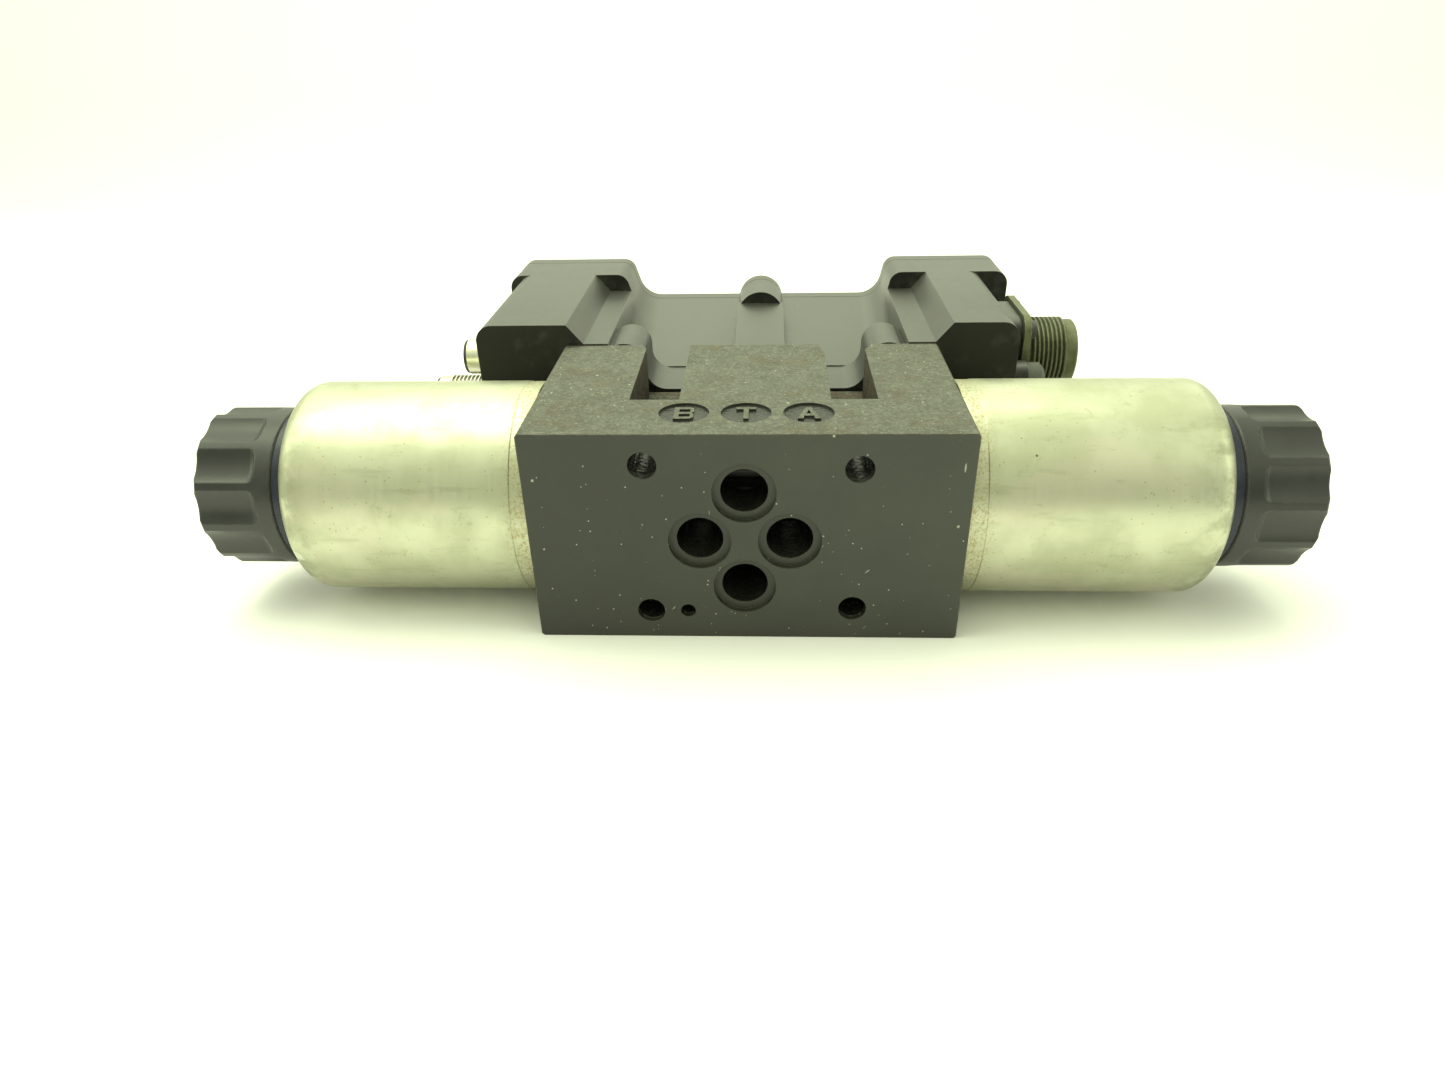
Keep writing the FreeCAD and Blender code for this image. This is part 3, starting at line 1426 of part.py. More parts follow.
def side_connectors():
    """The small socket, the longer threaded connector, and the stopper opposite."""
    round_socket("sensor_socket", "socket",
                 [("socket_end", "socket_bore"), ("socket_end", "socket_body"),
                  ("tower_left", "socket_body")])
    flange = "tower_left - bus_flange_height"
    ridges = thread_profile("bus_thread_end", flange, "bus_pitch", "bus_radius",
                            "bus_thread_depth", 10)
    round_socket("bus_connector", "bus",
                 [("bus_end", "bus_bore"), ("bus_end", "bus_collar"),
                  ("bus_thread_end - bus_collar_length", "bus_collar")] + ridges
                 + [(flange, "bus_flange"), ("tower_left", "bus_flange")])
    stopper = new_body("port_stopper")
    inside = "tower_right - housing_wall"
    turned(stopper, [(inside, "0"), (inside, "stopper_neck"),
                     ("stopper_boss_end", "stopper_neck"), ("stopper_boss_end", "stopper_radius"),
                     ("stopper_end - stopper_chamfer", "stopper_radius"),
                     ("stopper_end", "stopper_radius - stopper_chamfer"), ("stopper_end", "0")],
           centre=("stopper_y", "stopper_z"))
    node(stopper)


# --------------------------------------------------------------------------- build
def build():
    """Make every sub-part."""
    valve_body()
    spool()
    for side in ("a", "b"):
        spring_washer(side)
        centering_spring(side)
        push_pin(side)
        armature(side)
        armature_tube(side)
        tube_seal(side)
        override_pin(side)
        coil_shell(side)
        coil_yoke_disc(side)
        coil_bobbin(side)
        coil_winding(side)
        coil_plug(side)
        nut_seal(side)
        coil_nut(side)
        coil_leads(side)
    electronics_housing()
    housing_gasket()
    cover_gasket()
    back_cover()
    screws()
    circuit_board()
    board_parts()
    main_connector()
    side_connectors()


def check_and_write():
    """Stop on any faulty object, then write one file per sub-part."""
    DOC.recompute()
    faults = [o.Label for o in DOC.Objects if {"Invalid", "Error"} & set(o.State)]
    if faults:
        raise ValueError(f"faulty objects: {faults}")
    os.makedirs("parts", exist_ok=True)
    for thing in NODES:
        shape = thing.Shape
        if shape.isNull() or not shape.isValid() or not shape.Solids:
            raise ValueError(f"bad shape: {thing.Label}")
        shape.exportStep(f"parts/{thing.Label}.step")
        box = shape.BoundBox
        print(f"{thing.Label:26s} {len(shape.Solids)} solids  "
              f"{box.XLength:7.2f} {box.YLength:7.2f} {box.ZLength:7.2f}")


build()
check_and_write()
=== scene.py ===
import math

import bpy
from mathutils import Matrix, Vector


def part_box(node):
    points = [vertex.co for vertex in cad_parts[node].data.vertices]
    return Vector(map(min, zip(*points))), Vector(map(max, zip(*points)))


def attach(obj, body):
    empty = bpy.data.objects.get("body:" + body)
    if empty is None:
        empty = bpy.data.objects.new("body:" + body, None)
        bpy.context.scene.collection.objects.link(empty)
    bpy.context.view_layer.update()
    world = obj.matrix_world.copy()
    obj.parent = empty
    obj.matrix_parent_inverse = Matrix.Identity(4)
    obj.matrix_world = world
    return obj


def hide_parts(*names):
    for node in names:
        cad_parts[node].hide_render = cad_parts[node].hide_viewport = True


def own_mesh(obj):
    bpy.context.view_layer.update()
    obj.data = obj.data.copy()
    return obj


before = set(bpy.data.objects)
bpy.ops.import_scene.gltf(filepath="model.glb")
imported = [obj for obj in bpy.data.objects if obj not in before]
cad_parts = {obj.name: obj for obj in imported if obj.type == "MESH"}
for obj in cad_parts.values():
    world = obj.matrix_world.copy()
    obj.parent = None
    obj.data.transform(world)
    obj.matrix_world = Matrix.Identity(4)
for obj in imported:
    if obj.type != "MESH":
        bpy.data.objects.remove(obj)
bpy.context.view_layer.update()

# Looks of a hydraulic directional valve with two solenoids and an electronics box, lying on its side.
# Every solid comes from the CAD frame and keeps its shape. This script gives each one a procedural
# material, stands a copy in for each centring spring, then adds the floor, the lamps, the pale
# room round them and the camera. Lengths in materials are millimetres, all others metres.

MM = 0.001
RAYS = 6  # Samples that each edge and corner mask takes

# ---------------------------------------------------------------------------------------------
# Building node materials
# ---------------------------------------------------------------------------------------------


class Shader:
    """One node material under construction. Each method adds nodes and returns the socket with the result."""

    def __init__(self, name):
        self.material = bpy.data.materials.new(name)
        self.material.use_nodes = True
        self.tree = self.material.node_tree
        self.tree.nodes.clear()
        coordinates = self.add("ShaderNodeTexCoord")
        self.place = self.stretch(coordinates.outputs["Object"], (1 / MM,) * 3)
        self.x, self.y, self.z = self.split(self.place)
        self.normal_x, self.normal_y, self.normal_z = self.split(coordinates.outputs["Normal"])

    def add(self, kind, inputs=None, **settings):
        node = self.tree.nodes.new(kind)
        for key, value in settings.items():
            setattr(node, key, value)
        for key, value in (inputs or {}).items():
            self.plug(node.inputs[key], value)
        return node

    def plug(self, socket, value):
        if isinstance(value, bpy.types.NodeSocket):
            self.tree.links.new(value, socket)
        elif isinstance(value, tuple) and len(value) == 3 and socket.type == "RGBA":
            socket.default_value = (*value, 1.0)
        else:
            socket.default_value = value

    def split(self, vector):
        outputs = self.add("ShaderNodeSeparateXYZ", {0: vector}).outputs
        return outputs[0], outputs[1], outputs[2]

    def join(self, x, y, z):
        return self.add("ShaderNodeCombineXYZ", {0: x, 1: y, 2: z}).outputs[0]

    def calc(self, operation, first, second=0.0):
        return self.add("ShaderNodeMath", {0: first, 1: second}, operation=operation).outputs[0]

    def times(self, *values):
        result = values[0]
        for value in values[1:]:
            result = self.calc("MULTIPLY", result, value)
        return result

    def plus(self, *values):
        result = values[0]
        for value in values[1:]:
            result = self.calc("ADD", result, value)
        return result

    def most(self, first, second):
        return self.calc("MAXIMUM", first, second)

    def minus(self, first, second):
        return self.calc("SUBTRACT", first, second)

    def inverse(self, value):
        return self.minus(1.0, value)

    def above(self, value, limit):
        """1 where value is over limit, else 0."""
        return self.calc("GREATER_THAN", value, limit)

    def below(self, value, limit):
        """1 where value is under limit, else 0."""
        return self.calc("LESS_THAN", value, limit)

    def size(self, value):
        return self.calc("ABSOLUTE", value)

    def stretch(self, vector, factors):
        return self.add("ShaderNodeVectorMath", {0: vector, 1: factors}, operation="MULTIPLY").outputs[0]

    def rise(self, value, low, high, start=0.0, end=1.0):
        """start below low, end above high, and a smooth step between."""
        node = self.add(
            "ShaderNodeMapRange",
            {0: value, 1: low, 2: high, 3: start, 4: end},
            interpolation_type="SMOOTHSTEP",
        )
        return node.outputs[0]

    def noise(self, grain, detail=3.0, where=None, roughness=0.55):
        """Soft noise around 0.5 whose lumps are grain millimetres across."""
        node = self.add(
            "ShaderNodeTexNoise",
            {"Vector": where or self.place, "Scale": 1.0 / grain, "Detail": detail, "Roughness": roughness},
        )
        return node.outputs["Fac"]

    def cloud(self, grain):
        """A mask of soft patches that cover about half of the surface."""
        return self.rise(self.noise(grain, 4.0), 0.35, 0.68)

    def specks(self, spacing, share, radius, where=None):
        """A mask of ragged spots of about that radius, in that share of cells spacing millimetres wide."""
        where = where or self.place
        jitter = self.add("ShaderNodeTexNoise", {"Vector": where, "Scale": 1.2 / radius, "Detail": 2.0})
        ragged = self.add(
            "ShaderNodeVectorMath",
            {0: jitter.outputs["Color"], 1: (radius,) * 3, 2: where},
            operation="MULTIPLY_ADD",
        ).outputs[0]
        cells = self.add("ShaderNodeTexVoronoi", {"Vector": ragged, "Scale": 1.0 / spacing})
        picked = self.below(self.split(cells.outputs["Color"])[0], share)
        spot = self.rise(cells.outputs["Distance"], 0.6 * radius / spacing, radius / spacing, 1.0, 0.0)
        return self.times(picked, spot)

    def edges(self, width):
        """A mask of the strips within width millimetres of a sharp edge."""
        true = self.add("ShaderNodeNewGeometry").outputs["Normal"]
        normals = {0: self.rounded(width), 1: true}
        likeness = self.add("ShaderNodeVectorMath", normals, operation="DOT_PRODUCT").outputs["Value"]
        return self.rise(likeness, 0.80, 0.995, 1.0, 0.0)

    def crevice(self, reach):
        """A mask of the corners and hollows that lie within reach millimetres of another surface."""
        node = self.add("ShaderNodeAmbientOcclusion", {"Distance": reach * MM}, samples=RAYS)
        return self.rise(node.outputs["AO"], 0.45, 0.95, 1.0, 0.0)

    def mix(self, amount, low, high):
        """A colour that goes from low to high as amount goes from 0 to 1."""
        node = self.add("ShaderNodeMix", data_type="RGBA")
        self.plug(node.inputs["Factor"], amount)
        self.plug(node.inputs[6], low)
        self.plug(node.inputs[7], high)
        return node.outputs[2]

    def coat(self, colour, mask, tint, share):
        """Lays a tint over a colour where mask is 1; share is how much of the colour it hides there."""
        return self.mix(self.times(mask, share), colour, tint)

    def between(self, amount, low, high):
        """A number that goes from low to high as amount goes from 0 to 1."""
        node = self.add("ShaderNodeMix", data_type="FLOAT")
        self.plug(node.inputs["Factor"], amount)
        self.plug(node.inputs[2], low)
        self.plug(node.inputs[3], high)
        return node.outputs[0]

    def bump(self, height, depth, under=None):
        """A bump of that depth in millimetres for a height from 0 to 1, on top of another normal."""
        inputs = {"Height": height, "Distance": depth * MM, "Strength": 1.0}
        if under:
            inputs["Normal"] = under
        return self.add("ShaderNodeBump", inputs).outputs[0]

    def rounded(self, width):
        """A normal that rounds sharp edges off over width millimetres."""
        return self.add("ShaderNodeBevel", {"Radius": width * MM}, samples=RAYS).outputs[0]

    def done(self, colour, roughness, normal, metallic=0.0, **others):
        """Closes the material; others are further inputs of its surface, with _ for each space."""
        surface = self.add(
            "ShaderNodeBsdfPrincipled",
            {"Base Color": colour, "Roughness": roughness, "Normal": normal, "Metallic": metallic},
        )
        for key, value in others.items():
            self.plug(surface.inputs[key.replace("_", " ")], value)
        output = self.add("ShaderNodeOutputMaterial")
        self.tree.links.new(surface.outputs[0], output.inputs[0])
        return self.material


# ---------------------------------------------------------------------------------------------
# Materials of what can be seen
# ---------------------------------------------------------------------------------------------

DUST = (0.52, 0.52, 0.44)
RUST = (0.100, 0.066, 0.034)

block_low, block_high = [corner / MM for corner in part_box("valve_body")]
block_middle = (block_low + block_high) / 2
block_half = (block_high - block_low) / 2

FACE_SKIN = 0.12  # Depth that still counts as the mounting face
SIDE_SKIN = 0.35  # Depth that still counts as one of the block's other faces
SEAT_WALL_END = 1.22  # Just short of the floors of the O-ring seats
SEAT_FLOOR = 1.55  # Just past those floors
PORT_END = 16.5  # How deep the ports and bolt holes are darkened with oil and painted shade
CORE_HALF = 10.0  # Half the height of the metal between the bolt slots
RIM = 1.0  # Width of the strips along the block's outer edges


def block_zones(s):
    """Masks of the block's insides: all of them, the bores darkened with oil and painted shade, the bolt
    slots and the O-ring seats.
    """
    inside = s.times(
        s.above(s.y, block_low.y + FACE_SKIN),
        s.below(s.y, block_high.y - SIDE_SKIN),
        s.above(s.x, block_low.x + SIDE_SKIN),
        s.below(s.x, block_high.x - SIDE_SKIN),
        s.below(s.size(s.z), block_high.z - SIDE_SKIN),
    )
    past_seats = s.above(s.y, SEAT_FLOOR)
    in_bore = s.most(s.below(s.y, PORT_END), s.below(s.size(s.z), CORE_HALF))
    wet_and_shaded = s.times(inside, in_bore, past_seats)
    in_slot = s.times(inside, s.inverse(wet_and_shaded), past_seats)
    in_seat = s.times(inside, s.inverse(s.most(wet_and_shaded, in_slot)))
    return inside, wet_and_shaded, in_slot, in_seat


def block_outer_edge(s):
    """A mask of the strips where two of the block's outer faces meet."""
    ends = s.above(s.size(s.minus(s.x, block_middle.x)), block_half.x - RIM)
    faces = s.above(s.size(s.minus(s.y, block_middle.y)), block_half.y - RIM)
    long_sides = s.above(s.size(s.z), block_high.z - RIM)
    at_least_two = 1.5
    return s.above(s.plus(ends, long_sides, faces), at_least_two)


def milled_iron(s, patches):
    """The colour of the block's machined faces, darker to the left."""
    milled = s.mix(patches, (0.026, 0.028, 0.022), (0.038, 0.040, 0.031))
    brighter_right = s.rise(s.x, block_low.x, block_high.x, 0.72, 1.12)
    return s.mix(brighter_right, (0.004, 0.004, 0.003), milled)


def rough_iron(s):
    """The colour of the block's as-cast sides: grey grain with bright and dark points."""
    tone = s.noise(5.0, 6.0, roughness=0.75)
    grain = s.noise(1.3, 4.0, roughness=0.7)
    fine = s.noise(0.6, 4.0, roughness=0.75)
    rough = s.mix(s.rise(tone, 0.32, 0.68), (0.072, 0.074, 0.058), (0.108, 0.110, 0.088))
    rough = s.coat(rough, s.rise(grain, 0.48, 0.68), (0.160, 0.160, 0.130), share=0.40)
    rough = s.coat(rough, s.rise(grain, 0.32, 0.48, 1.0, 0.0), (0.050, 0.050, 0.040), share=0.35)
    rough = s.coat(rough, s.specks(spacing=2.6, share=0.14, radius=0.24), (0.020, 0.019, 0.015), share=0.75)
    rough = s.coat(rough, s.rise(fine, 0.54, 0.66), (0.24, 0.24, 0.195), share=0.6)
    pocks = s.rise(fine, 0.34, 0.45, 1.0, 0.0)
    return s.coat(rough, pocks, (0.030, 0.030, 0.024), share=0.6)


def block_dust(s):
    """A mask of the specks, clustered crumbs and lint on the block."""
    small = s.specks(spacing=1.5, share=0.24, radius=0.17)
    large = s.specks(spacing=4.0, share=0.22, radius=0.34)
    clusters = s.times(s.specks(spacing=1.0, share=0.30, radius=0.13), s.rise(s.noise(11.0, 3.0), 0.50, 0.62))
    slanted = s.join(s.plus(s.x, s.z), s.y, s.minus(s.x, s.z))
    lint = s.specks(spacing=3.6, share=0.45, radius=0.26, where=s.stretch(slanted, (0.20, 1.0, 1.0)))
    upright = s.stretch(s.place, (1.0, 1.0, 0.22))
    lint = s.most(lint, s.specks(spacing=4.0, share=0.40, radius=0.24, where=upright))
    specks = s.most(s.most(small, s.times(large, 0.8)), clusters)
    return s.most(specks, s.times(lint, 0.7))


def cast_iron():
    """The block: as-cast long sides with rust and debris, milled faces, bores and seats darkened with oil and
    painted shade, and painted shade in its corners.
    """
    s = Shader("block_iron")
    cast = s.rise(s.size(s.normal_z), 0.55, 0.75)
    inside, wet_and_shaded, in_slot, in_seat = block_zones(s)
    patches = s.cloud(26.0)
    colour = s.mix(cast, milled_iron(s, patches), rough_iron(s))

    rust_patch = s.rise(s.noise(9.0, 6.0, roughness=0.7), 0.50, 0.64)
    rust_specks = s.specks(spacing=2.2, share=0.16, radius=0.45)
    rust = s.times(cast, s.most(s.times(rust_patch, 0.38), s.times(rust_specks, 0.8)))
    debris = s.times(in_slot, s.rise(s.noise(2.2, 6.0, roughness=0.7), 0.40, 0.58))
    rust = s.most(rust, s.times(debris, 0.85))
    colour = s.coat(colour, rust, RUST, share=0.8)
    crumbs = s.times(in_slot, s.specks(spacing=1.3, share=0.22, radius=0.28))
    colour = s.coat(colour, crumbs, (0.25, 0.22, 0.15), share=0.6)

    dust = s.times(block_dust(s), s.inverse(wet_and_shaded))
    colour = s.coat(colour, dust, DUST, share=0.8)

    edge = s.edges(0.45)
    outer_edge = block_outer_edge(s)
    chips = s.rise(s.noise(2.0, 4.0), 0.34, 0.56)
    worn = s.times(edge, chips, s.between(outer_edge, 0.25, 1.0), s.inverse(wet_and_shaded))
    colour = s.coat(colour, s.times(worn, s.most(outer_edge, cast)), (0.20, 0.16, 0.10), share=0.6)
    # Seat walls and the inner edges of the milled faces are painted near black: an oil film and painted
    # shade.
    seat_wall = s.times(inside, s.below(s.y, SEAT_WALL_END))
    oil_and_shade_rims = s.most(seat_wall, s.times(edge, s.inverse(cast), s.inverse(outer_edge)))
    colour = s.coat(colour, oil_and_shade_rims, (0.012, 0.012, 0.010), share=0.75)
    # The bores and the core between the bolt slots are painted near black: an oil film and painted shade.
    colour = s.coat(colour, wet_and_shaded, (0.008, 0.008, 0.008), share=0.85)
    # Painted shade in the corners and hollows, from an occlusion mask, kept out of the bores and seats.
    corner_painted_shade = s.times(s.crevice(3.0), s.inverse(s.most(wet_and_shaded, in_seat)))
    colour = s.coat(colour, corner_painted_shade, (0.030, 0.026, 0.018), share=0.5)

    roughness = s.between(cast, s.between(patches, 0.46, 0.56), 0.72)
    roughness = s.between(s.times(rust, 0.9), roughness, 0.9)
    roughness = s.between(s.most(wet_and_shaded, s.times(oil_and_shade_rims, 0.8)), roughness, 0.24)

    lumps = s.plus(s.times(s.noise(2.2, 5.0), 0.55), s.times(s.noise(0.9, 4.0), 0.45))
    tool_marks = s.noise(1.0, 2.0, where=s.stretch(s.place, (0.02, 1.0, 3.0)))
    cast_height = s.plus(s.times(lumps, cast), s.times(rust, 0.15), s.times(debris, 0.35))
    normal = s.bump(cast_height, 0.40, s.rounded(0.22))
    normal = s.bump(s.times(tool_marks, s.inverse(cast)), 0.006, normal)
    return s.done(colour, roughness, normal, Specular_IOR_Level=s.between(wet_and_shaded, 0.5, 0.28))


BOX_SHADE = 45.0  # How far behind the block the painted shade on the box fades out


def anodised():
    """The electronics box and its cover: blasted and black anodised aluminium."""
    s = Shader("housing_anodised")
    cloud = s.rise(s.noise(18.0, 4.0), 0.35, 0.70)
    # Faces turned towards the front get painted shade: a darker colour, and also more roughness and less
    # specular.
    fronts_painted_shade = s.rise(s.normal_y, -0.80, -0.35, 1.0, 0.0)
    colour = s.mix(cloud, (0.037, 0.0375, 0.0325), (0.049, 0.0495, 0.043))
    # Painted shade on the box where it meets the block, fading out behind it.
    painted_shade_by_block = s.rise(s.y, block_high.y, block_high.y + BOX_SHADE, 0.55, 0.0)
    colour = s.mix(painted_shade_by_block, colour, (0.016, 0.0165, 0.014))
    colour = s.mix(fronts_painted_shade, colour, (0.015, 0.0154, 0.0125))
    smears = s.rise(s.noise(7.0, 5.0, where=s.stretch(s.place, (1.0, 0.3, 1.0))), 0.52, 0.70)
    colour = s.coat(colour, smears, (0.085, 0.088, 0.074), share=0.30)
    edge = s.times(s.edges(0.35), s.rise(s.noise(3.0, 4.0), 0.35, 0.6))
    colour = s.coat(colour, edge, (0.160, 0.140, 0.105), share=0.6)
    dirt = s.times(s.crevice(4.0), s.rise(s.noise(2.2, 4.0), 0.35, 0.65))
    colour = s.coat(colour, dirt, (0.11, 0.105, 0.08), share=0.35)
    hairs = s.specks(spacing=6.5, share=0.3, radius=0.14, where=s.stretch(s.place, (0.3, 0.3, 1.0)))
    dust = s.most(s.specks(spacing=3.2, share=0.06, radius=0.18), hairs)
    colour = s.coat(colour, dust, DUST, share=0.55)
    roughness = s.plus(
        s.between(cloud, 0.36, 0.43),
        s.times(smears, 0.08),
        s.times(dust, 0.3),
        s.times(fronts_painted_shade, 0.12),
    )
    fine = s.noise(0.28, 3.0)
    passes = s.noise(1.6, 2.0, where=s.stretch(s.place, (1.0, 0.08, 1.0)))
    normal = s.bump(fine, 0.012, s.rounded(0.30))
    normal = s.bump(passes, 0.010, normal)
    return s.done(colour, roughness, normal, Specular_IOR_Level=s.between(fronts_painted_shade, 0.95, 0.25))


coil_low, coil_high = [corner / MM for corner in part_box("coil_shell_a")]
coil_axis = (coil_low + coil_high) / 2
coil_radius = (coil_high.y - coil_low.y) / 2

MOTTLE_FADES = (1.5, 7.0)  # Where the mottling starts and ends to fade, measured from the block
SMUDGE_X = (84.0, 95.0)  # Where the smudges start and are full, measured from the valve's middle
SMUDGE_Y = (-6.0, -16.0)  # The same, measured from the coil's axis towards the mounting face


def zinc():
    """The coil cans: drawn steel with satin yellow-green zinc plate, stains, pits and scuffs."""
    s = Shader("coil_zinc")
    across = s.minus(s.y, coil_axis.y)
    turn = s.times(s.calc("ARCTAN2", s.z, across), coil_radius)
    drawn = s.noise(0.9, 3.0, where=s.join(s.times(s.x, 1.6), s.times(turn, 0.035), 0.0))
    cloud = s.rise(s.noise(12.0, 4.0), 0.36, 0.66)
    colour = s.mix(cloud, (0.54, 0.55, 0.42), (0.45, 0.46, 0.335))
    iridescent = s.rise(s.noise(16.0, 3.0, where=s.stretch(s.place, (0.5, 1.0, 1.0))), 0.54, 0.70)
    colour = s.coat(colour, iridescent, (0.62, 0.55, 0.46), share=0.35)
    from_block = s.minus(s.size(s.minus(s.x, block_middle.x)), block_half.x)
    near_block = s.rise(from_block, *MOTTLE_FADES, 1.0, 0.0)
    mottle = s.times(near_block, s.rise(s.noise(0.55, 4.0, roughness=0.75), 0.46, 0.62))
    colour = s.coat(colour, mottle, (0.36, 0.27, 0.12), share=0.70)
    grime = s.rise(s.noise(5.0, 6.0, roughness=0.75), 0.57, 0.72)
    colour = s.coat(colour, grime, (0.30, 0.30, 0.18), share=0.45)
    flecks = s.times(s.specks(spacing=1.2, share=0.55, radius=0.24), s.rise(s.noise(9.0, 4.0), 0.44, 0.56))
    colour = s.coat(colour, flecks, (0.30, 0.26, 0.12), share=0.55)
    large_pits = s.specks(spacing=5.0, share=0.14, radius=0.30)
    pits = s.most(large_pits, s.specks(spacing=2.4, share=0.08, radius=0.17))
    colour = s.coat(colour, pits, (0.10, 0.09, 0.05), share=0.75)
    outer_end = s.rise(s.size(s.x), *SMUDGE_X)
    front_half = s.rise(across, *SMUDGE_Y)
    smudge = s.times(outer_end, front_half, s.rise(s.noise(6.0, 5.0, roughness=0.7), 0.42, 0.58))
    colour = s.coat(colour, smudge, (0.20, 0.20, 0.14), share=0.60)
    streaks = s.rise(s.noise(2.4, 4.0, where=s.stretch(s.place, (0.18, 1.0, 1.0))), 0.58, 0.72)
    colour = s.coat(colour, streaks, (0.30, 0.31, 0.20), share=0.28)
    scuffs = s.specks(spacing=11.0, share=0.14, radius=1.5, where=s.stretch(s.place, (0.6, 1.0, 1.0)))
    colour = s.coat(colour, scuffs, (0.86, 0.88, 0.80), share=0.40)
    roughness = s.plus(
        s.between(cloud, 0.37, 0.46),
        s.times(s.minus(drawn, 0.5), 0.20),
        s.times(grime, 0.12),
        s.times(pits, 0.3),
        s.times(mottle, 0.2),
    )
    dents = s.noise(14.0, 2.0, where=s.stretch(s.place, (0.35, 1.0, 1.0)))
    normal = s.bump(drawn, 0.014, s.rounded(0.25))
    normal = s.bump(dents, 0.10, normal)
    normal = s.bump(s.noise(0.35, 3.0), 0.006, normal)
    normal = s.bump(s.inverse(pits), 0.05, normal)
    return s.done(colour, roughness, normal, metallic=1.0)


def nut_plastic():
    """The coil nuts: moulded matte black glass-filled plastic with handling marks on the ridges."""
    s = Shader("nut_plastic")
    cloud = s.cloud(8.0)
    colour = s.mix(cloud, (0.008, 0.0082, 0.0075), (0.014, 0.0143, 0.0130))
    edge = s.times(s.edges(0.7), s.rise(s.noise(1.4, 5.0), 0.36, 0.62))
    colour = s.coat(colour, edge, (0.16, 0.16, 0.14), share=0.55)
    rubs = s.specks(spacing=6.0, share=0.25, radius=0.30, where=s.stretch(s.place, (0.35, 1.0, 1.0)))
    dust = s.most(s.specks(spacing=2.0, share=0.05, radius=0.14), s.times(rubs, 0.7))
    colour = s.coat(colour, dust, DUST, share=0.6)
    roughness = s.plus(s.between(cloud, 0.32, 0.40), s.times(edge, -0.06), s.times(dust, 0.2))
    normal = s.bump(s.noise(0.5, 3.0), 0.02, s.rounded(0.45))
    normal = s.bump(s.noise(3.0, 2.0), 0.03, normal)
    return s.done(colour, roughness, normal, Specular_IOR_Level=0.62)


def rubber(name, colour, gloss):
    """Moulded rubber of one colour with a dusty bloom."""
    s = Shader(name)
    bloom = s.rise(s.noise(2.5, 4.0), 0.42, 0.72)
    pale = tuple(channel * 1.7 + 0.01 for channel in colour)
    tint = s.coat(colour, bloom, pale, share=0.5)
    tint = s.coat(tint, s.specks(spacing=1.8, share=0.08, radius=0.12), DUST, share=0.5)
    normal = s.bump(s.noise(0.4, 3.0), 0.015, s.rounded(0.2))
    return s.done(tint, s.between(bloom, gloss, gloss + 0.16), normal)


def olive_plate():
    """The large connector's shell and plate: olive-drab plating worn bright on its edges."""
    s = Shader("connector_olive")
    cloud = s.cloud(4.0)
    colour = s.mix(cloud, (0.100, 0.108, 0.055), (0.155, 0.160, 0.095))
    edge = s.times(s.edges(0.25), s.rise(s.noise(0.9, 5.0), 0.40, 0.64))
    colour = s.coat(colour, edge, (0.55, 0.56, 0.44), share=0.75)
    # Painted shade in the corners and hollows of the shell and plate.
    colour = s.coat(colour, s.crevice(0.8), (0.03, 0.032, 0.018), share=0.7)
    roughness = s.between(cloud, 0.36, 0.50)
    normal = s.bump(s.noise(0.35, 3.0), 0.010, s.rounded(0.15))
    return s.done(colour, roughness, normal, metallic=s.between(edge, 0.55, 0.9))


def bright_plate(name, low, high, polish, corner_shade_share=0.3, metallic=1.0):
    """A turned or plated metal between two tones, with painted shade in its corners."""
    s = Shader(name)
    cloud = s.cloud(3.0)
    colour = s.mix(cloud, low, high)
    # Painted shade in the corners, a quarter as bright as the lower tone.
    dark = tuple(channel * 0.25 for channel in low)
    colour = s.coat(colour, s.crevice(0.8), dark, share=corner_shade_share)
    turned = s.noise(0.25, 2.0, where=s.stretch(s.place, (1.0, 0.06, 0.06)))
    roughness = s.plus(s.between(cloud, polish, polish + 0.10), s.times(turned, 0.05))
    normal = s.bump(turned, 0.006, s.rounded(0.12))
    return s.done(colour, roughness, normal, metallic=metallic)


def moulded(name, colour, gloss):
    """A plain moulded plastic with a fine texture and slight colour drift."""
    s = Shader(name)
    cloud = s.cloud(5.0)
    pale = tuple(channel * 1.3 + 0.004 for channel in colour)
    tint = s.mix(cloud, colour, pale)
    bright = tuple(channel * 2.0 + 0.02 for channel in colour)
    tint = s.coat(tint, s.edges(0.2), bright, share=0.3)
    normal = s.bump(s.noise(0.3, 3.0), 0.012, s.rounded(0.12))
    return s.done(tint, s.between(cloud, gloss, gloss + 0.1), normal)


def board_green():
    """The circuit board: solder resist over faint copper tracks."""
    s = Shader("circuit_board")
    lanes = s.add("ShaderNodeTexBrick", {"Vector": s.join(s.x, s.z, 0.0), "Scale": 0.35}).outputs["Fac"]
    colour = s.coat((0.012, 0.075, 0.030), lanes, (0.030, 0.135, 0.055), share=0.5)
    normal = s.bump(lanes, 0.03)
    return s.done(colour, 0.32, normal)


def wound_copper():
    """The coil windings: layers of enamelled wire."""
    s = Shader("coil_copper")
    wave = {"Vector": s.place, "Scale": 0.9, "Distortion": 0.4}
    layers = s.add("ShaderNodeTexWave", wave, bands_direction="X").outputs["Fac"]
    colour = s.mix(layers, (0.28, 0.09, 0.035), (0.62, 0.25, 0.11))
    return s.done(colour, 0.35, s.bump(layers, 0.12), metallic=0.9)


# ---------------------------------------------------------------------------------------------
# Which node wears what
# ---------------------------------------------------------------------------------------------


def pair(name):
    """The two nodes of a part that the valve has at both ends."""
    return [name + "_a", name + "_b"]


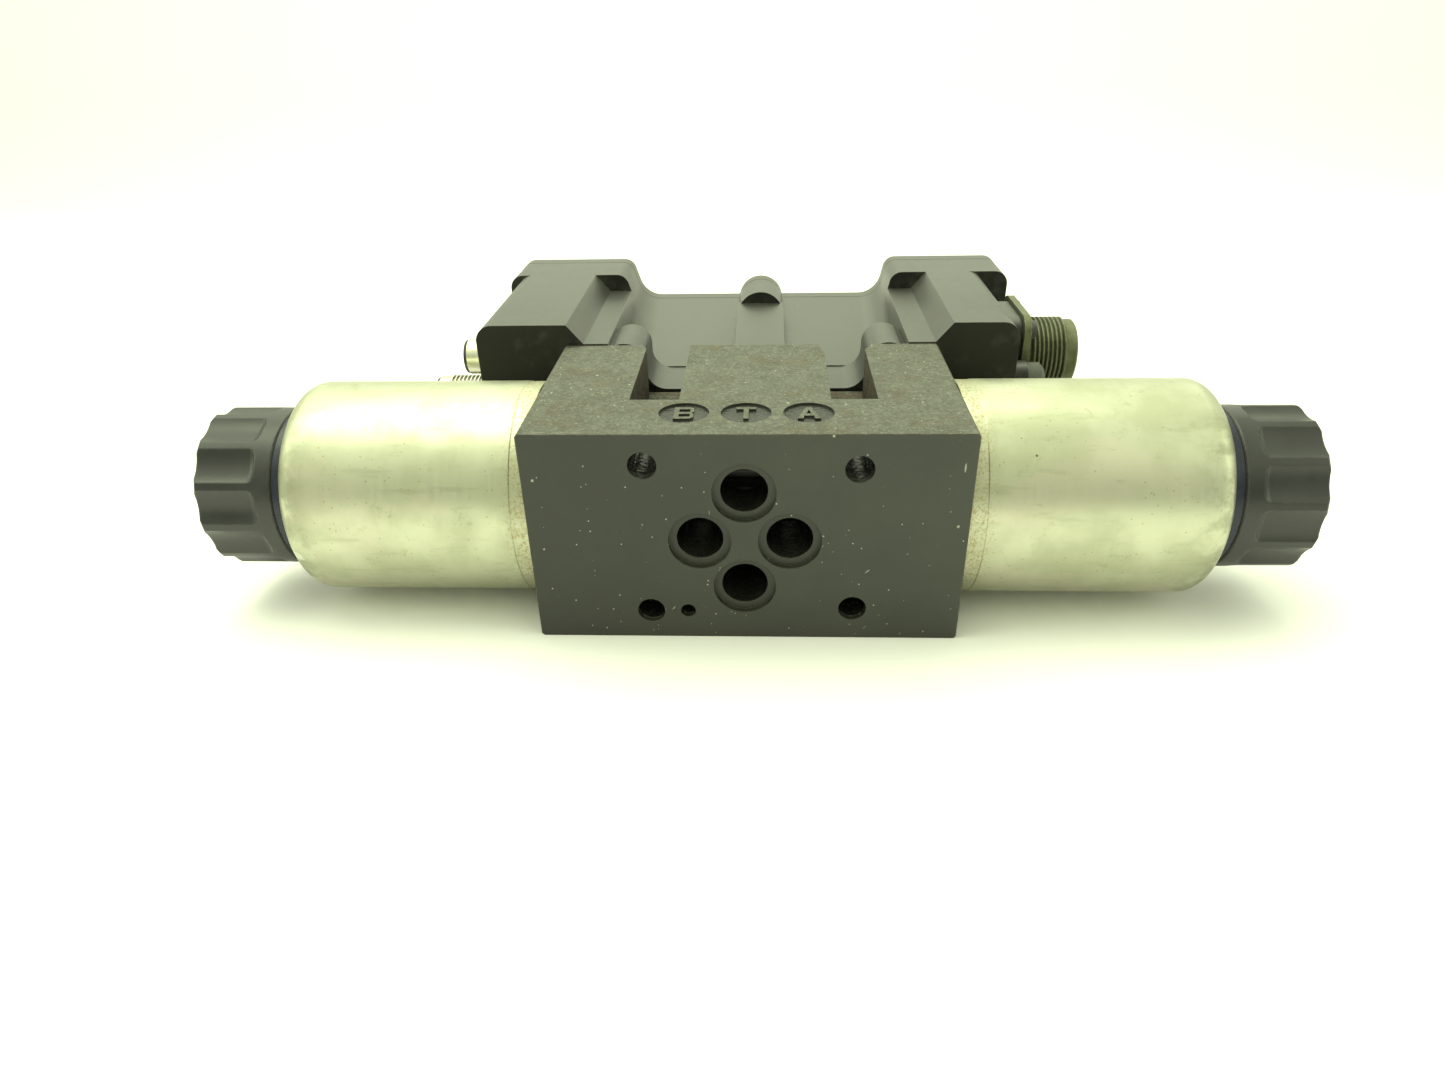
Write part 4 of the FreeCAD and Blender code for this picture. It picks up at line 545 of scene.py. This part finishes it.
def finishes():
    """Each material with the nodes that wear it."""
    steel = bright_plate("ground_steel", (0.55, 0.55, 0.54), (0.64, 0.64, 0.62), 0.22)
    drawn_steel = bright_plate("tube_steel", (0.46, 0.46, 0.44), (0.58, 0.58, 0.55), 0.30)
    black = (0.050, 0.050, 0.048), (0.085, 0.084, 0.080)
    black_steel = bright_plate("black_steel", *black, 0.36, metallic=0.7)
    gold = bright_plate("contact_gold", (0.80, 0.58, 0.24), (0.88, 0.68, 0.32), 0.20)
    brass = bright_plate("pin_brass", (0.55, 0.44, 0.20), (0.68, 0.55, 0.28), 0.26)
    nickel = bright_plate("nickel_plate", (0.66, 0.64, 0.52), (0.78, 0.76, 0.64), 0.22, corner_shade_share=0.75)
    can = bright_plate("capacitor_can", (0.60, 0.60, 0.62), (0.72, 0.72, 0.74), 0.30)
    insulator = moulded("insulator", (0.012, 0.012, 0.012), 0.38)
    return [
        (cast_iron(), ["valve_body"]),
        (anodised(), ["electronics_housing", "back_cover"]),
        (zinc(), pair("coil_shell")),
        (nut_plastic(), pair("coil_nut")),
        (rubber("nut_seal_rubber", (0.002, 0.004, 0.020), 0.26), pair("nut_seal")),
        (rubber("gasket_rubber", (0.012, 0.012, 0.011), 0.60),
         ["housing_gasket", "cover_gasket", "main_connector_gasket"] + pair("tube_seal")),
        (olive_plate(), ["main_connector_shell"]),
        (nickel, ["sensor_socket_shell", "bus_connector_shell"]),
        (insulator, ["main_connector_insert", "sensor_socket_insert", "bus_connector_insert"]),
        (gold, ["main_connector_pins", "sensor_socket_pins", "bus_connector_pins"]),
        (moulded("stopper_plastic", (0.060, 0.062, 0.054), 0.50), ["port_stopper"]),
        (moulded("plug_plastic", (0.014, 0.014, 0.013), 0.50), pair("coil_plug") + ["board_chips"]),
        (moulded("bobbin_plastic", (0.020, 0.020, 0.019), 0.50), pair("coil_bobbin")),
        (moulded("lead_red", (0.42, 0.035, 0.022), 0.40), pair("coil_leads")),
        (black_steel, ["housing_screws", "cover_screws", "board_screws", "main_connector_screws"]),
        (steel, ["spool"] + pair("push_pin") + pair("spring_washer") + pair("centering_spring")),
        (drawn_steel, pair("armature_tube") + pair("armature") + pair("coil_yoke_disc")),
        (brass, pair("override_pin")),
        (wound_copper(), pair("coil_winding")),
        (board_green(), ["circuit_board"]),
        (can, ["board_capacitors"]),
    ]


def dress():
    """Puts each material on its nodes, and stops if a node was left without one."""
    bare = set(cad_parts)
    for material, names in finishes():
        for name in names:
            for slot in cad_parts[name].material_slots:
                slot.material = material
            bare.discard(name)
    if bare:
        raise ValueError("no material for " + ", ".join(sorted(bare)))


def flexing_springs():
    """Stands a copy, named as a coil, in for each centring spring, hangs it on the valve's body and hides the
    original.
    """
    for name, fixed_end in zip(pair("centering_spring"), (1, 0)):
        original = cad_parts[name]
        coil = bpy.data.objects.new(name.replace("spring", "coil"), original.data.copy())
        coil.matrix_world = original.matrix_world.copy()
        bpy.context.scene.collection.objects.link(coil)
        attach(coil, "valve")
        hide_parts(name)
        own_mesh(coil)


# ---------------------------------------------------------------------------------------------
# Floor, lamps and camera
# ---------------------------------------------------------------------------------------------


def studio_white():
    """The floor's matte near-white, with a trace of unevenness."""
    s = Shader("studio_white")
    high = (0.94, 0.93, 0.93)
    low = tuple(channel * 0.985 for channel in high)
    matte = 0.9
    return s.done(s.mix(s.noise(160.0, 3.0), low, high), matte, s.bump(s.noise(3.0, 2.0), 0.01))


def floor_profile():
    """Points (along, height) of the floor's section, from in front of the camera up the rear wall."""
    near, far, curve, wall = -2.2, 0.95, 0.12, 0.30
    steps = 12
    profile = [(near, 0.0), (far, 0.0)]
    for step in range(1, steps + 1):
        angle = math.pi / 2 * step / steps
        profile.append((far + curve * math.sin(angle), curve * (1 - math.cos(angle))))
    profile.append((far + curve, wall))
    return profile


def studio_floor():
    """A floor and wall in one curved sheet. It passes under the block's front edge and the box's towers."""
    housing_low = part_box("electronics_housing")[0]
    front = Vector((0.0, block_low.y * MM, block_low.z * MM))
    back = Vector((0.0, housing_low.y, housing_low.z))
    slope = (back - front).normalized()
    up = Vector((1.0, 0.0, 0.0)).cross(slope)
    half_width = 3.0
    gap = 0.05 * MM
    profile = floor_profile()
    points = []
    for along, height in profile:
        for side in (-half_width, half_width):
            points.append(front + slope * along + up * (height - gap) + Vector((side, 0.0, 0.0)))
    faces = [(2 * i, 2 * i + 1, 2 * i + 3, 2 * i + 2) for i in range(len(profile) - 1)]
    mesh = bpy.data.meshes.new("studio_floor")
    mesh.from_pydata([tuple(point) for point in points], [], faces)
    for face in mesh.polygons:
        face.use_smooth = True
    mesh.materials.append(studio_white())
    floor = bpy.data.objects.new("studio_floor", mesh)
    bpy.context.scene.collection.objects.link(floor)


DAYLIGHT = (0.93, 1.0, 0.72)
VALVE_MIDDLE = (0.0, 0.05, 0.0)

# The room's brightness towards the camera, everywhere else, and what straight overhead adds. The
# direction's Y and Z, from -1 to 1, say where the first gives way to the second and the third comes in.
ROOM_FRONT = 0.36
ROOM_REST = 0.95
ROOM_TOP = 0.36
FRONT_Y = (-0.97, -0.50)
TOP_Z = (0.0, 0.75)


def lamp(name, place, size, power):
    """A soft box at place that shines at the valve."""
    light = bpy.data.lights.new(name, "AREA")
    light.shape = "RECTANGLE"
    light.size, light.size_y = size
    light.energy = power
    light.color = DAYLIGHT
    holder = bpy.data.objects.new(name, light)
    holder.location = place
    holder.rotation_euler = (Vector(VALVE_MIDDLE) - Vector(place)).to_track_quat("-Z", "Y").to_euler()
    bpy.context.scene.collection.objects.link(holder)


def studio_lights():
    """A soft box overhead, a wide one behind and a weak one on each side."""
    lamp("overhead", place=(-0.20, 0.28, 0.85), size=(1.0, 0.7), power=7.0)
    lamp("behind", place=(-0.10, 1.00, 0.66), size=(1.8, 0.6), power=2.4)
    lamp("left_fill", place=(-0.9, -0.1, 0.60), size=(0.6, 0.6), power=2.0)
    lamp("right_fill", place=(0.95, -0.1, 0.60), size=(0.6, 0.6), power=1.2)


def pale_room():
    """A light world, brighter overhead and darker only round the camera's direction."""
    world = bpy.data.worlds.new("pale_room")
    world.use_nodes = True
    tree = world.node_tree
    tree.nodes.clear()

    def ramp(source, low, high, start, end):
        """start at low or less, end at high or more, and a straight slope between."""
        node = tree.nodes.new("ShaderNodeMapRange")
        settings = {"From Min": low, "From Max": high, "To Min": start, "To Max": end}
        for key, value in settings.items():
            node.inputs[key].default_value = value
        tree.links.new(source, node.inputs["Value"])
        return node.outputs[0]

    direction = tree.nodes.new("ShaderNodeTexCoord")
    split = tree.nodes.new("ShaderNodeSeparateXYZ")
    tree.links.new(direction.outputs["Generated"], split.inputs[0])
    away_from_front = ramp(split.outputs[1], *FRONT_Y, ROOM_FRONT, ROOM_REST)
    overhead = ramp(split.outputs[2], *TOP_Z, 0.0, ROOM_TOP)
    level = tree.nodes.new("ShaderNodeMath")
    level.operation = "ADD"
    tree.links.new(away_from_front, level.inputs[0])
    tree.links.new(overhead, level.inputs[1])
    sky = tree.nodes.new("ShaderNodeBackground")
    sky.inputs["Color"].default_value = (*DAYLIGHT, 1.0)
    tree.links.new(level.outputs[0], sky.inputs["Strength"])
    output = tree.nodes.new("ShaderNodeOutputWorld")
    tree.links.new(sky.outputs[0], output.inputs[0])
    bpy.context.scene.world = world


def studio_camera():
    """A wide lens close to the valve, above its mounting face and a little to the right."""
    azimuth = math.radians(3.05)
    elevation = math.radians(30.33)
    roll = math.radians(-1.34)
    place = Vector((0.00408, -0.15654, 0.09163))
    backward = Vector((
        math.sin(azimuth) * math.cos(elevation),
        -math.cos(azimuth) * math.cos(elevation),
        math.sin(elevation),
    ))
    right = Vector((math.cos(azimuth), math.sin(azimuth), 0.0))
    up = backward.cross(right)
    rolled_right = right * math.cos(roll) + up * math.sin(roll)
    rolled_up = up * math.cos(roll) - right * math.sin(roll)
    turn = Matrix((rolled_right, rolled_up, backward)).transposed()
    camera = bpy.data.cameras.new("camera")
    camera.sensor_width = 36.0
    camera.lens = 23.31
    camera.clip_start = 0.005
    camera.clip_end = 20.0
    holder = bpy.data.objects.new("camera", camera)
    holder.matrix_world = Matrix.Translation(place) @ turn.to_4x4()
    bpy.context.scene.collection.objects.link(holder)
    bpy.context.scene.camera = holder


def exposure():
    """Shows the light as it is, with no film look."""
    view = bpy.context.scene.view_settings
    view.view_transform = "Standard"
    view.look = "None"
    view.exposure = 0.0


dress()
flexing_springs()
studio_floor()
studio_lights()
pale_room()
studio_camera()
exposure()
